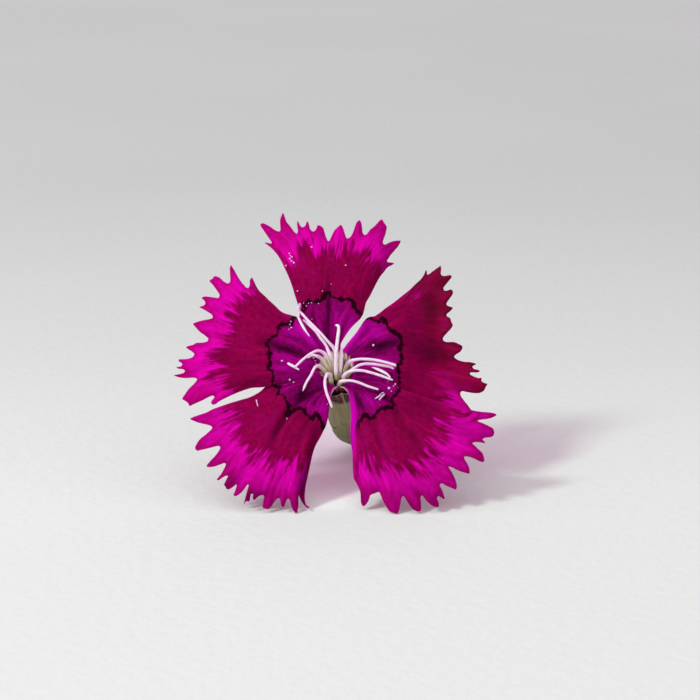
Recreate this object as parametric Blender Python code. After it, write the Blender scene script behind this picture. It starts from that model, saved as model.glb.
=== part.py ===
"""One picked blossom of a single-flowered pink: five toothed petals on slender claws, ten stamens, a pistil with two
styles, a toothed calyx tube, four bracts round its base and the cut end of the stalk.

It lies as a picked blossom does: on the teeth of its two lower petals in front and on the cut stalk behind, with its
face turned up and forward. Lengths below are in millimetres and are turned into metres when a mesh is made. +Z is up,
the face looks towards -Y, and the origin is under the middle of the whole blossom, on the surface that it lies on.
"""

import math

import bmesh
import bpy
from mathutils import Vector
from mathutils.geometry import delaunay_2d_cdt

MM = 0.001

# ---------------------------------------------------------------- driving sizes
THROAT = Vector((0.359, -2.028, 12.383))  # middle of the mouth of the flower
FACE_TILT = math.radians(40.0)  # how far the face looks up from level
FACE_TURN = math.radians(4.0)  # how far it is turned to the left
TUBE_SWERVE = 0.08  # sideways run of the flower's tube for each millimetre behind the mouth

PETAL_THICKNESS = 0.22
CLAW_INNER = 1.60  # from the flower's axis to a claw's inner face
CLAW_BEND = 0.60  # radius of the bend between claw and blade
CLAW_HALF_WIDTH = 0.72
CLAW_LENGTH = 11.0
BLADE_START = CLAW_INNER + CLAW_BEND

FILAMENT_RING = 1.18  # radius of the ring that the filaments stand on
FILAMENT_FOOT = 12.6  # its depth below the mouth
FILAMENT_RADIUS = 0.14

OVARY_TOP, OVARY_FOOT, OVARY_RADIUS = 6.2, 13.4, 0.88
STYLE_RADIUS = 0.15

CALYX_WALL = 0.20
CALYX_FOOT = 14.9
CALYX_TEETH = 5
TOOTH_TIP, TOOTH_NOTCH = 0.48, 2.70  # depths of a tooth's tip and of the notches beside it
# (depth below the mouth, outer radius) down the calyx
CALYX_PROFILE = ((0.4, 2.27), (2.7, 2.30), (6.0, 2.44), (9.0, 2.42), (12.0, 2.12), (14.0, 1.62), (14.9, 1.22))

BRACT_THICKNESS = 0.17
BRACT_FOOT, BRACT_TIP = 14.75, 8.6
STALK_RADIUS = 0.78
STALK_END = 18.335

# ------------------------------------------------ the drawing of the face
# The outlines are drawn as the face is seen from a fixed eye point: x to the right and y down, 9.4 units to the
# millimetre at the throat. A drawn point is carried along its line of sight to the surface that it belongs to.
EYE_RISE = math.radians(15.0)
EYE_DISTANCE = 320.0
EYE_FOCAL = 3008.0
DRAWING_MIDDLE = (350.0, 350.0)
DRAWN_THROAT = (338.0, 372.0)

LOOK = Vector((0.0, math.cos(EYE_RISE), -math.sin(EYE_RISE)))
RIGHT = Vector((1.0, 0.0, 0.0))
UP = Vector((0.0, math.sin(EYE_RISE), math.cos(EYE_RISE)))

FACE = Vector(
    (
        -math.sin(FACE_TURN) * math.cos(FACE_TILT),
        -math.cos(FACE_TURN) * math.cos(FACE_TILT),
        math.sin(FACE_TILT),
    )
)
ACROSS = Vector((math.cos(FACE_TURN), -math.sin(FACE_TURN), 0.0))
ALONG = FACE.cross(ACROSS)

EYE = (
    THROAT
    - LOOK * EYE_DISTANCE
    - RIGHT * ((DRAWN_THROAT[0] - DRAWING_MIDDLE[0]) / EYE_FOCAL * EYE_DISTANCE)
    + UP * ((DRAWN_THROAT[1] - DRAWING_MIDDLE[1]) / EYE_FOCAL * EYE_DISTANCE)
)


def swerve(w):
    """How far aside the flower's own frame runs behind the mouth, with the tube."""
    return TUBE_SWERVE * (math.sqrt(w * w + 1.0) - 1.0) if w < 0.0 else 0.0


def place(u, v, w):
    """A point of the flower's own frame: u across the face, v up the face, w out of the face."""
    return THROAT + ACROSS * (u + swerve(w)) + ALONG * v + FACE * w


def seen_at(x, y, height):
    """(u, v) of the drawn point (x, y) where it lies this high over the plane of the mouth."""
    sight = LOOK + RIGHT * ((x - DRAWING_MIDDLE[0]) / EYE_FOCAL) - UP * ((y - DRAWING_MIDDLE[1]) / EYE_FOCAL)
    run = (height - FACE.dot(EYE - THROAT)) / FACE.dot(sight)
    hit = EYE + sight * run - THROAT
    return hit.dot(ACROSS) - swerve(height), hit.dot(ALONG)


def smooth(t):
    t = min(1.0, max(0.0, t))
    return t * t * (3.0 - 2.0 * t)


def soft_ramp(t, width):
    """Nearly 0 before t = 0 and nearly t after it, rounded over the given width."""
    return 0.5 * (t + math.sqrt(t * t + width * width))


# ------------------------------------------------------------------ petals
# axis and claw: directions of the blade and of the claw round the face, in degrees. lift: height of the blade over the
# mouth. lean: forward slope of the blade. left_drop and right_drop: how far its side edges fall away, left and right as
# the petal is seen with its claw down. bend_at and bend: where the outer part turns back, and how steeply.
PETALS = {
    "petal_top": {
        "axis": 94.5, "claw": 102.0, "lift": 0.40, "lean": 0.21, "left_drop": 0.35, "right_drop": 0.60,
        "outline": (
            (326.5, 350), (318, 341), (308, 330), (299.5, 317.5), (298, 311), (297.5, 304), (295, 296), (292, 286),
            (289, 278), (285, 269), (280, 259), (275, 252), (270, 247), (264.7, 242.5), (271.8, 243.6), (266, 235),
            (260.5, 224.2), (270, 226.5), (279, 231.2), (280.4, 219), (283, 213), (286.2, 221), (296.5, 233.5),
            (297.5, 229), (297.5, 221), (303, 227), (307.2, 221), (313.5, 231.3), (318.5, 225.2), (322.5, 227.3),
            (328.5, 241), (334, 231), (341, 224.8), (347, 238.3), (352.5, 233), (359.5, 220), (364.8, 235), (375, 226),
            (382, 219.7), (386.5, 225.5), (383.3, 244), (400.5, 240.8), (387, 260.3), (394, 262.8), (388, 267),
            (380, 277), (370, 296), (365, 307), (361, 318), (355, 324), (349.6, 330.4), (344, 338), (341, 343.5),
            (340, 349),
        ),
    },
    "petal_upper_right": {
        "axis": 24.0, "claw": 30.0, "lift": 0.40, "lean": 0.0, "left_drop": 0.35, "right_drop": 0.95,
        "bend_at": 10.2, "bend": 1.25,
        "outline": (
            (348, 354), (343.5, 352), (344.5, 347.2), (346.4, 344.4), (350, 340.5), (355, 334), (360, 327),
            (364, 321.5), (367, 318), (371, 316.5), (374, 316.2), (380, 312.5), (390, 305), (400, 297.5), (410, 289.5),
            (420, 280), (424.2, 274), (426, 269.8), (427.6, 274.4), (433, 271), (440.5, 265.8), (441.8, 275.5),
            (451, 275.5), (450, 279.5), (443.6, 288.5), (444.5, 290.5), (453, 291.2), (450, 298), (446.5, 304.5),
            (452.8, 307.8), (446.8, 315), (450, 318), (452.8, 325), (446, 334), (443, 339), (446, 341.8), (454, 342),
            (462.5, 346.5), (461, 351), (454.2, 356.5), (463, 361.5), (476.2, 364), (472.8, 367.5), (480, 371),
            (470, 373.5), (479, 378), (481.5, 381), (487.5, 384), (484, 390.5), (480, 392.8), (467, 392), (460.8, 391.9),
            (461, 396), (464.5, 400.5), (468.5, 406), (472, 411.5), (472, 416), (460, 413), (445, 408), (430, 403),
            (415, 397), (404, 391.5), (396, 385.5), (385, 381.5), (370, 377.5), (361, 374),
        ),
    },
    "petal_lower_right": {
        "axis": 310.0, "claw": 312.0, "lift": 0.55, "lean": -0.02, "left_drop": 0.00, "right_drop": 0.60,
        "outline": (
            (358.5, 380.5), (370, 382), (385, 385), (398, 388.5), (407, 391.5), (416, 394.5), (425, 397), (434, 400),
            (443, 402.8), (451, 405.3), (462, 408), (473.5, 410.4), (481.5, 411.7), (496.6, 414.6), (486.8, 418.9),
            (478, 420.6), (488.9, 426), (493.2, 428.8), (494.3, 433), (490, 437.2), (483, 439.2), (485.2, 442.9),
            (472.8, 442.8), (478.3, 449), (482.5, 453.3), (484.4, 459.7), (482.5, 462), (474, 458.6), (464.6, 457),
            (467.6, 464), (469.5, 469.3), (469.2, 473.4), (458, 470.4), (448.6, 466.8), (452.7, 473.6), (455.9, 481),
            (456.9, 486.4), (455.9, 489.4), (450.5, 487.5), (441, 483.3), (443.6, 493.9), (444.4, 499.2), (437.8, 496),
            (438.8, 503.5), (438.4, 506.7), (435.6, 506.9), (430.3, 504.5), (421.8, 495.6), (421.2, 504.5),
            (420.7, 510.4), (418.6, 511.5), (413.2, 509.3), (403.1, 496), (401.5, 498), (399, 510), (397.2, 513.6),
            (392, 512.5), (385.5, 505.6), (379.5, 492.2), (374, 493.3), (368.5, 500.3), (363, 506), (361, 503),
            (360, 491.7), (356.7, 484), (354, 479), (352.6, 464), (352, 451), (350.5, 440.5), (350.3, 430),
            (350.9, 415), (350.2, 404), (349, 397),
        ),
    },
    "petal_lower_left": {
        "axis": 229.0, "claw": 238.0, "lift": 0.45, "lean": 0.05, "left_drop": 0.50, "right_drop": 0.60,
        "outline": (
            (331, 397), (329.8, 405), (329, 411), (328, 418), (326, 426), (324, 430), (320, 438), (316, 445),
            (313, 453), (310.5, 464), (308, 476), (305.5, 488), (305, 500), (306.5, 505), (309.5, 507.8),
            (305, 506.3), (302, 502), (298.9, 495.5), (298.4, 505), (297.2, 512.3), (295.5, 512.8), (292, 508),
            (288.5, 498.5), (284.5, 505.8), (282.4, 507.2), (278.5, 498), (271, 507), (268, 509), (263, 507.8),
            (263.6, 495.2), (254.3, 500), (251.5, 494), (249.5, 500), (244.3, 504.2), (245.5, 497), (248, 484.8),
            (240, 493.5), (233.8, 495.5), (236, 484.8), (230, 488.8), (227, 489.2), (224, 485), (227.6, 475.8),
            (216.8, 479.8), (221, 474), (225.6, 463.4), (214, 466.5), (206.5, 466.3), (210, 461), (214, 457),
            (219.8, 446.4), (207, 448.5), (197, 450.5), (195, 448.5), (200, 439), (205, 435), (212.3, 427.5),
            (200, 423), (190.2, 418.6), (206, 412.5), (213, 408.5), (222, 405.5), (237, 401), (250, 397), (257, 393.8),
            (265, 390), (274, 387), (285, 384), (300, 381), (315, 379.5),
        ),
    },
    "petal_left": {
        "axis": 167.0, "claw": 168.0, "lift": 0.60, "lean": 0.04, "left_drop": 0.30, "right_drop": 0.35,
        "outline": (
            (314, 375.5), (300, 377.5), (285, 380.5), (274, 383.3), (264.5, 386.8), (252, 388), (242, 391), (230, 396),
            (220, 401), (211.8, 404), (214, 396.3), (202, 400.5), (189.5, 405.8), (182.2, 399), (189, 388.5),
            (197, 378.8), (185, 378), (174, 375.2), (184.8, 371), (176.5, 367.3), (182, 365), (178.5, 359.9),
            (187, 359), (194.2, 354.5), (186, 347), (196, 342.8), (208, 340), (199, 331), (193, 323.8), (204, 320),
            (212.5, 317.5), (208, 312), (199.5, 307), (205.3, 303), (201.5, 297.8), (216, 297.8), (219, 296),
            (209.5, 280.5), (213.8, 276.5), (220, 278), (228, 283.3), (230, 274), (231, 265.2), (236.5, 274),
            (244, 285), (249, 287.2), (250, 280), (251.7, 277), (255.5, 284.5), (260, 291.5), (265, 296), (270, 301),
            (275, 305.5), (280, 310.5), (284, 313), (290, 314.8), (296, 319), (304, 331.5), (313, 343), (319, 353),
        ),
    },
}


def blade_height(petal, u, v):
    """How high the blade lies over the plane of the mouth at (u, v)."""
    axis = math.radians(petal["axis"])
    out = math.hypot(u, v)
    aside = math.degrees(math.atan2(v, u)) - petal["axis"]
    aside = (aside + 180.0) % 360.0 - 180.0
    ahead = u * math.cos(axis) + v * math.sin(axis)
    height = petal["lift"] * smooth((out - BLADE_START) / 5.0)
    height += petal["lean"] * soft_ramp(ahead - 4.0, 2.0) * smooth((out - BLADE_START) / 2.0)
    drop = petal["left_drop"] if aside > 0.0 else petal["right_drop"]
    height -= drop * min(1.5, abs(aside) / 35.0) ** 2 * smooth((out - 3.6) / 3.4)
    if "bend" in petal:
        height -= petal["bend"] * soft_ramp(ahead - petal["bend_at"], 2.2) * smooth((out - BLADE_START) / 3.0)
    return height


def on_blade(petal, x, y):
    """(u, v) where the line of sight through the drawn point meets the blade."""
    height = 0.0
    for _ in range(12):
        u, v = seen_at(x, y, height)
        height = blade_height(petal, u, v)
    return u, v


def petal_point(petal, ahead, aside):
    """The point of the petal's upper face at a distance along the claw's direction and a distance to its left. Short
    of the blade the sheet bends down and runs back along the flower's axis as the claw."""
    claw = math.radians(petal["claw"])
    forward = Vector((math.cos(claw), math.sin(claw)))
    left = Vector((-math.sin(claw), math.cos(claw)))
    if ahead >= BLADE_START:
        spot = forward * ahead + left * aside
        return place(spot.x, spot.y, blade_height(petal, spot.x, spot.y))
    run = BLADE_START - ahead
    quarter = CLAW_BEND * math.pi / 2
    if run < quarter:
        reach = BLADE_START - CLAW_BEND * math.sin(run / CLAW_BEND)
        depth = CLAW_BEND * (1.0 - math.cos(run / CLAW_BEND))
    else:
        reach = CLAW_INNER
        depth = CLAW_BEND + run - quarter
    spot = forward * reach + left * aside
    return place(spot.x, spot.y, -depth)


def inside(x, y, loop):
    hit = False
    for (ax, ay), (bx, by) in zip(loop, loop[1:] + loop[:1]):
        if (ay > y) != (by > y) and x < (bx - ax) * (y - ay) / (by - ay) + ax:
            hit = not hit
    return hit


def distance_to(x, y, loop):
    best = 1e9
    for (ax, ay), (bx, by) in zip(loop, loop[1:] + loop[:1]):
        dx, dy = bx - ax, by - ay
        t = min(1.0, max(0.0, ((x - ax) * dx + (y - ay) * dy) / max(1e-12, dx * dx + dy * dy)))
        best = min(best, math.hypot(x - ax - t * dx, y - ay - t * dy))
    return best


def make_petal(name, petal, step=1.55):
    claw = math.radians(petal["claw"])
    loop = []
    for x, y in petal["outline"]:
        u, v = on_blade(petal, x, y)
        loop.append((u * math.cos(claw) + v * math.sin(claw), -u * math.sin(claw) + v * math.cos(claw)))
    loop = [(max(BLADE_START + 0.05, ahead), aside) for ahead, aside in loop]
    # the claw closes the loop; it starts at whichever side the outline ends on
    side = CLAW_HALF_WIDTH if loop[-1][1] > 0 else -CLAW_HALF_WIDTH
    end = BLADE_START - CLAW_LENGTH
    stops = (BLADE_START, BLADE_START - 0.31, BLADE_START - 0.63, BLADE_START - 0.94, BLADE_START - 4.0, end)
    taper = (1.0, 1.0, 0.98, 0.96, 0.86, 0.60)
    loop += [(stop, side * t) for stop, t in zip(stops, taper)]
    loop += [(stop, -side * t) for stop, t in reversed(list(zip(stops, taper)))]
    points = list(loop)
    low = [min(p[i] for p in loop) for i in (0, 1)]
    high = [max(p[i] for p in loop) for i in (0, 1)]
    row = 0
    ahead = BLADE_START + 0.6
    while ahead < high[0]:
        aside = low[1] + (0.5 * step if row % 2 else 0.0)
        while aside < high[1]:
            if inside(ahead, aside, loop) and distance_to(ahead, aside, loop) > 0.42 * step:
                points.append((ahead, aside))
            aside += step
        ahead += step * 0.87
        row += 1
    count = len(loop)
    edges = [(i, (i + 1) % count) for i in range(count)]
    flat, _, faces, _, _, _ = delaunay_2d_cdt([Vector(p) for p in points], edges, [], 1, 1e-6)
    bm = bmesh.new()
    verts = [bm.verts.new(petal_point(petal, p.x, p.y) * MM) for p in flat]
    for face in faces:
        bm.faces.new([verts[i] for i in face])
    bmesh.ops.delete(bm, geom=[v for v in bm.verts if not v.link_faces], context="VERTS")
    bmesh.ops.recalc_face_normals(bm, faces=bm.faces)
    bm.faces.ensure_lookup_table()
    outward = sum((f.normal.dot(FACE) * f.calc_area() for f in bm.faces), 0.0)
    if outward < 0:
        bmesh.ops.reverse_faces(bm, faces=bm.faces)
    obj = finish(name, bm, "petal")
    sheet = obj.modifiers.new("thickness", "SOLIDIFY")
    sheet.thickness = PETAL_THICKNESS * MM
    sheet.offset = -1.0
    sheet.use_rim = True
    return obj


# ------------------------------------------------------------- materials
COLOURS = {
    "petal": (0.30, 0.004, 0.10), "filament": (0.84, 0.50, 0.76), "style": (0.86, 0.72, 0.82),
    "calyx": (0.16, 0.15, 0.08), "bract": (0.15, 0.19, 0.06), "stalk": (0.17, 0.22, 0.08),
}


def material(kind):
    found = bpy.data.materials.get(kind)
    if found:
        return found
    made = bpy.data.materials.new(kind)
    made.use_nodes = True
    shader = made.node_tree.nodes["Principled BSDF"]
    shader.inputs["Base Color"].default_value = (*COLOURS[kind], 1.0)
    shader.inputs["Roughness"].default_value = 0.55
    shader.inputs["Metallic"].default_value = 0.0
    return made


def finish(name, bm, kind):
    mesh = bpy.data.meshes.new(name)
    bm.to_mesh(mesh)
    bm.free()
    mesh.shade_smooth()
    mesh.set_sharp_from_angle(angle=math.radians(45))
    obj = bpy.data.objects.new(name, mesh)
    mesh.materials.append(material(kind))
    bpy.context.scene.collection.objects.link(obj)
    return obj


# ------------------------------------------------- strands: stamens and styles
def smooth_path(points, per_span=3):
    """A Catmull-Rom curve through the points."""
    path = []
    for i in range(len(points) - 1):
        p0 = points[max(0, i - 1)]
        p1, p2 = points[i], points[i + 1]
        p3 = points[min(len(points) - 1, i + 2)]
        for k in range(per_span):
            t = k / per_span
            path.append(
                0.5 * (2 * p1 + (p2 - p0) * t + (2 * p0 - 5 * p1 + 4 * p2 - p3) * t * t + (3 * p1 - 3 * p2 + p3 - p0) * t**3)
            )
    path.append(points[-1].copy())
    return path


def swept(path, radii, sides=6):
    """A closed round strand along the path, with a blunt tip at each end."""
    bm = bmesh.new()
    normal = None
    rings = []
    for i, spot in enumerate(path):
        ahead = (path[min(i + 1, len(path) - 1)] - path[max(i - 1, 0)]).normalized()
        if normal is None:
            normal = ahead.orthogonal().normalized()
        normal = (normal - ahead * normal.dot(ahead)).normalized()
        side = ahead.cross(normal)
        rings.append(
            [
                bm.verts.new(
                    (spot + (normal * math.cos(a) + side * math.sin(a)) * radii[i]) * MM
                )
                for a in (2 * math.pi * k / sides for k in range(sides))
            ]
        )
    for one, two in zip(rings, rings[1:]):
        for k in range(sides):
            bm.faces.new((one[k], one[(k + 1) % sides], two[(k + 1) % sides], two[k]))
    bm.faces.new(list(reversed(rings[0])))
    bm.faces.new(rings[-1])
    bmesh.ops.recalc_face_normals(bm, faces=bm.faces)
    return bm


def spread(values, count):
    """The values read off evenly at count places."""
    found = []
    for i in range(count):
        t = i / (count - 1) * (len(values) - 1)
        k = min(int(t), len(values) - 2)
        found.append(values[k] + (values[k + 1] - values[k]) * (t - k))
    return found


def drawn_path(points):
    """Drawn points with a height each, as points in space."""
    return [place(*seen_at(x, y, w), w) for x, y, w in points]


def joined(name, body, pieces):
    """Joins the helper pieces onto the body with Boolean unions."""
    for i, piece in enumerate(pieces):
        piece.hide_render = True
        piece.display_type = "WIRE"
        union = body.modifiers.new(f"join_{i}", "BOOLEAN")
        union.operation = "UNION"
        union.solver = "EXACT"
        union.object = piece
    return body


# foot: direction round the flower's axis where the filament stands. path: drawn points with their heights over the
# mouth. anther: the same for the pollen sac, if the flower still carries it, with its radii.
STAMENS = {
    "stamen_1": {"foot": 85, "path": ((334.9, 350, 1.2), (327.2, 340.7, 1.8), (319.8, 332.3, 2.2), (310.4, 323, 2.4),
                                      (301.1, 312.9, 2.4), (298.6, 310.6, 2.42)),
                 "anther": ((299.4, 304.5, 2.45), (298.4, 312, 2.4), (298.4, 318.5, 2.3), (303.5, 327.5, 2.1), (309, 335.6, 1.9)),
                 "anther_radii": (0.13, 0.19, 0.17, 0.13, 0.07)},
    "stamen_2": {"foot": 108, "path": ((330, 354.7, 0.9), (325.4, 344.4, 1.2), (319.8, 337, 1.4), (315.1, 330.6, 1.5),
                                       (309, 324.8, 1.45), (303.9, 320.2, 1.4))},
    "stamen_3": {"foot": 131, "path": ((325.8, 354.9, 0.9), (321, 351.3, 1.4), (317.4, 350.7, 1.7), (310.4, 353.8, 1.8),
                                       (303, 359.4, 1.6), (297, 365, 1.3), (294.6, 367, 1.2)),
                 "anther": ((288.5, 363.6, 1.2), (293.4, 366.4, 1.15), (298.3, 369.2, 1.1)),
                 "anther_radii": (0.12, 0.13, 0.09)},
    "stamen_4": {"foot": 154, "path": ((321.6, 358.6, 0.7), (316, 355.8, 0.95), (312.3, 355.1, 1.0), (308, 357.4, 0.95))},
    "stamen_5": {"foot": 180, "path": ((320.7, 366.8, 0.7), (317.9, 365.9, 1.0), (315.1, 367.3, 1.15), (310.9, 375.2, 1.2),
                                       (306.3, 382.7, 1.1), (303, 390.6, 1.0)), "tip": 0.06},
    "stamen_6": {"foot": 222, "path": ((330, 374.6, 0.8), (327.2, 374.3, 1.3), (325.4, 378, 1.5), (324.9, 383.6, 1.6),
                                       (326.3, 392, 1.6), (329.1, 399.5, 1.5), (331.9, 406.9, 1.4)), "tip": 0.08},
    "stamen_7": {"foot": 280, "path": ((340.6, 381.8, 0.6), (345, 380.8, 1.1), (351.5, 380.8, 1.3), (359, 382.7, 1.3),
                                       (368.3, 386.4, 1.2), (377.6, 389.2, 1.1))},
    "stamen_8": {"foot": 318, "path": ((344, 376.2, 0.7), (347.8, 372.4, 1.2), (354.3, 370.6, 1.5), (361.8, 370.6, 1.6),
                                       (370.1, 372.4, 1.5), (382.3, 376.2, 1.35), (392.1, 379.9, 1.2)), "tip": 0.09},
    "stamen_9": {"foot": 5, "path": ((351, 371, 0.5), (354.3, 368.7, 0.9), (359, 365.4, 1.3), (364.6, 364, 1.45),
                                     (372.9, 364, 1.4), (382.3, 365.4, 1.25), (389.7, 366.8, 1.05), (393.3, 368.6, 0.95)),
                 "anther": ((393.2, 368.4, 0.95), (389.9, 375.2, 0.95), (384.1, 371.9, 1.0), (377.6, 369.4, 1.05), (372.5, 367.9, 1.0)),
                 "anther_radii": (0.10, 0.12, 0.15, 0.14, 0.07)},
    "stamen_10": {"foot": 40, "path": ((347.6, 363.6, 0.8), (351.5, 360.8, 1.3), (359, 359.2, 1.7), (368.3, 359.2, 1.8),
                                       (375.7, 360.1, 1.8), (386.9, 362.9, 1.65), (395.3, 365.7, 1.55)), "tip": 0.12},
}


def make_stamen(name, stamen):
    turn = math.radians(stamen["foot"])
    column = [
        place(FILAMENT_RING * math.cos(turn), FILAMENT_RING * math.sin(turn), -depth)
        for depth in (FILAMENT_FOOT, 7.0, 2.2, 0.7)
    ]
    path = smooth_path(column + drawn_path(stamen["path"]), 2)
    radii = spread((FILAMENT_RADIUS, FILAMENT_RADIUS, FILAMENT_RADIUS, stamen.get("tip", 0.11)), len(path))
    obj = finish(name, swept(path, radii), "filament")
    if "anther" in stamen:
        path = smooth_path(drawn_path(stamen["anther"]), 3)
        piece = finish(name + "_anther", swept(path, spread(stamen["anther_radii"], len(path))), "filament")
        joined(name, obj, [piece])
    return obj


STYLES = (
    ((336.4, 375.5, 0.2), (335.8, 360.3, 1.8), (336.6, 347.2, 2.8), (338, 336, 3.4), (338.7, 329.5, 3.7),
     (338.2, 325.9, 3.8), (336.4, 325.2, 3.7)),
    ((339.4, 373.5, 0.2), (340.5, 362, 1.4), (341.4, 352, 2.0), (341.9, 346.5, 2.2)),
)


def turned(profile, sides):
    """A closed shape turned about the flower's axis, from (depth, radius) pairs."""
    bm = bmesh.new()
    rings = []
    for depth, radius in profile:
        rings.append(
            [
                bm.verts.new(place(radius * math.cos(a), radius * math.sin(a), -depth) * MM)
                for a in (2 * math.pi * k / sides for k in range(sides))
            ]
        )
    for one, two in zip(rings, rings[1:]):
        for k in range(sides):
            bm.faces.new((one[k], one[(k + 1) % sides], two[(k + 1) % sides], two[k]))
    bm.faces.new(rings[0])
    bm.faces.new(list(reversed(rings[-1])))
    bmesh.ops.recalc_face_normals(bm, faces=bm.faces)
    return bm


def make_pistil():
    length = OVARY_FOOT - OVARY_TOP
    profile = []
    for i in range(9):
        t = i / 8
        bulge = math.sin(math.pi * min(1.0, 0.06 + 0.94 * t) ** 0.8)
        profile.append((OVARY_TOP + length * t, max(0.28, OVARY_RADIUS * bulge**0.6)))
    obj = finish("pistil", turned(profile, 14), "style")
    pieces = []
    for i, style in enumerate(STYLES):
        aside = -0.17 if i == 0 else 0.17
        path = smooth_path([place(aside, 0, -OVARY_TOP - 0.8), place(aside * 1.3, 0, -3.0)] + drawn_path(style), 3)
        radii = spread((STYLE_RADIUS, STYLE_RADIUS, STYLE_RADIUS, 0.13), len(path))
        pieces.append(finish(f"style_{i + 1}", swept(path, radii), "style"))
    return joined("pistil", obj, pieces)


# ------------------------------------------------ calyx, bracts and stalk
def calyx_radius(depth):
    for (d0, r0), (d1, r1) in zip(CALYX_PROFILE, CALYX_PROFILE[1:]):
        if depth <= d1:
            t = (depth - d0) / (d1 - d0)
            return r0 + (r1 - r0) * t
    return CALYX_PROFILE[-1][1]


def make_calyx(around=40, down=11):
    """A tube with five pointed teeth, which stand between the petals, closed at its foot."""
    bm = bmesh.new()
    first_tooth = math.radians(66.0)
    rings = []
    for row in range(down + 1):
        ring = []
        for k in range(around):
            turn = 2 * math.pi * k / around
            phase = ((turn - first_tooth) * CALYX_TEETH / (2 * math.pi)) % 1.0
            off = abs(phase - round(phase)) * 2.0  # 0 on a tooth's middle, 1 in a notch
            top = TOOTH_TIP + (TOOTH_NOTCH - TOOTH_TIP) * off**0.85
            t = row / down
            depth = top + (CALYX_FOOT - top) * t
            radius = calyx_radius(depth)
            ring.append(bm.verts.new(place(radius * math.cos(turn), radius * math.sin(turn), -depth) * MM))
        rings.append(ring)
    for one, two in zip(rings, rings[1:]):
        for k in range(around):
            bm.faces.new((one[k], one[(k + 1) % around], two[(k + 1) % around], two[k]))
    middle = bm.verts.new(place(0, 0, -CALYX_FOOT) * MM)
    for k in range(around):
        bm.faces.new((rings[-1][k], rings[-1][(k + 1) % around], middle))
    bmesh.ops.recalc_face_normals(bm, faces=bm.faces)
    axis_point = place(0, 0, -8.0) * MM
    facing = sum(
        f.normal.dot(f.calc_center_median() - axis_point) * f.calc_area() for f in bm.faces if len(f.verts) == 4
    )
    if facing < 0:
        bmesh.ops.reverse_faces(bm, faces=bm.faces)
    obj = finish("calyx", bm, "calyx")
    wall = obj.modifiers.new("wall", "SOLIDIFY")
    wall.thickness = CALYX_WALL * MM
    wall.offset = -1.0
    wall.use_rim = True
    return obj


def make_bract(name, direction, clearance, reach):
    """An oval scale with a drawn-out tip, wrapped on the calyx's foot."""
    bm = bmesh.new()
    rows, columns = 9, 6
    grid = []
    for i in range(rows + 1):
        t = i / rows  # 0 at the foot, 1 at the tip
        depth = BRACT_FOOT + (BRACT_TIP - reach - BRACT_FOOT) * t
        half = 52.0 * max(0.05, math.sin(math.pi * min(1.0, 0.30 + 0.70 * t)) ** 0.9 if t < 0.62 else 0.72 * (1 - t) ** 1.25 * 2.9)
        half = min(half, 50.0)
        line = []
        for j in range(columns + 1):
            turn = math.radians(direction + half * (2 * j / columns - 1))
            radius = calyx_radius(depth) + clearance
            line.append(bm.verts.new(place(radius * math.cos(turn), radius * math.sin(turn), -depth) * MM))
        grid.append(line)
    for one, two in zip(grid, grid[1:]):
        for j in range(columns):
            bm.faces.new((one[j], one[j + 1], two[j + 1], two[j]))
    bmesh.ops.recalc_face_normals(bm, faces=bm.faces)
    axis_point = place(0, 0, -12.0) * MM
    facing = sum(f.normal.dot(f.calc_center_median() - axis_point) * f.calc_area() for f in bm.faces)
    if facing < 0:
        bmesh.ops.reverse_faces(bm, faces=bm.faces)
    obj = finish(name, bm, "bract")
    leaf = obj.modifiers.new("thickness", "SOLIDIFY")
    leaf.thickness = BRACT_THICKNESS * MM
    leaf.offset = 1.0
    leaf.use_rim = True
    return obj


def make_stalk():
    profile = (
        (15.05, 1.12), (15.35, 1.10), (15.75, 0.92), (16.2, STALK_RADIUS), (16.9, STALK_RADIUS * 0.97),
        (STALK_END, STALK_RADIUS),
    )
    return finish("stalk", turned(profile, 16), "stalk")


def main():
    for obj in list(bpy.data.objects):
        bpy.data.objects.remove(obj, do_unlink=True)
    for name, petal in PETALS.items():
        make_petal(name, petal)
    for name, stamen in STAMENS.items():
        make_stamen(name, stamen)
    make_pistil()
    make_calyx()
    make_bract("bract_left", 174.0, 0.10, 0.0)
    make_bract("bract_right", 354.0, 0.10, 0.0)
    make_bract("bract_upper", 84.0, 0.42, 0.5)
    make_bract("bract_lower", 264.0, 0.42, 0.5)
    make_stalk()


main()
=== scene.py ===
import math

import bmesh
import bpy
import numpy as np
from mathutils import Matrix, Vector, noise
from mathutils.geometry import delaunay_2d_cdt


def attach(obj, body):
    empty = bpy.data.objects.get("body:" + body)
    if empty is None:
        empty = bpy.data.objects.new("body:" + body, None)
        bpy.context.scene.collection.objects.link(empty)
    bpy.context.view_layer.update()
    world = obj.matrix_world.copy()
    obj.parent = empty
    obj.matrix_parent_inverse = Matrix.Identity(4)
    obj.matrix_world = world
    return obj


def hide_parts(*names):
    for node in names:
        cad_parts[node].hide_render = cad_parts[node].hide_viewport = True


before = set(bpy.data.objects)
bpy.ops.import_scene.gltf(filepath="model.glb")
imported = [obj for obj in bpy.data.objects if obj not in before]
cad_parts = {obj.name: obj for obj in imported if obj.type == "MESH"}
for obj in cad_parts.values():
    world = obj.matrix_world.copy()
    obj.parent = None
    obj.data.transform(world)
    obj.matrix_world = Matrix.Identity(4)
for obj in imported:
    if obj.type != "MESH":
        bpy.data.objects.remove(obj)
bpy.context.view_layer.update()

MM = 0.001
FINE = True

# =========================================================== the face's drawing
# Lengths are in millimetres until a mesh is made. The outlines and markings are drawn as the face is seen from a fixed
# eye point, x to the right and y down, and each drawn point is carried along its line of sight to its surface.
THROAT = np.array((0.359, -2.028, 12.383))
FACE_TILT, FACE_TURN, TUBE_SWERVE = math.radians(40.0), math.radians(4.0), 0.08
PETAL_THICKNESS, CLAW_INNER, CLAW_BEND, CLAW_LENGTH = 0.21, 1.60, 0.60, 11.0
BLADE_START = CLAW_INNER + CLAW_BEND
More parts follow.
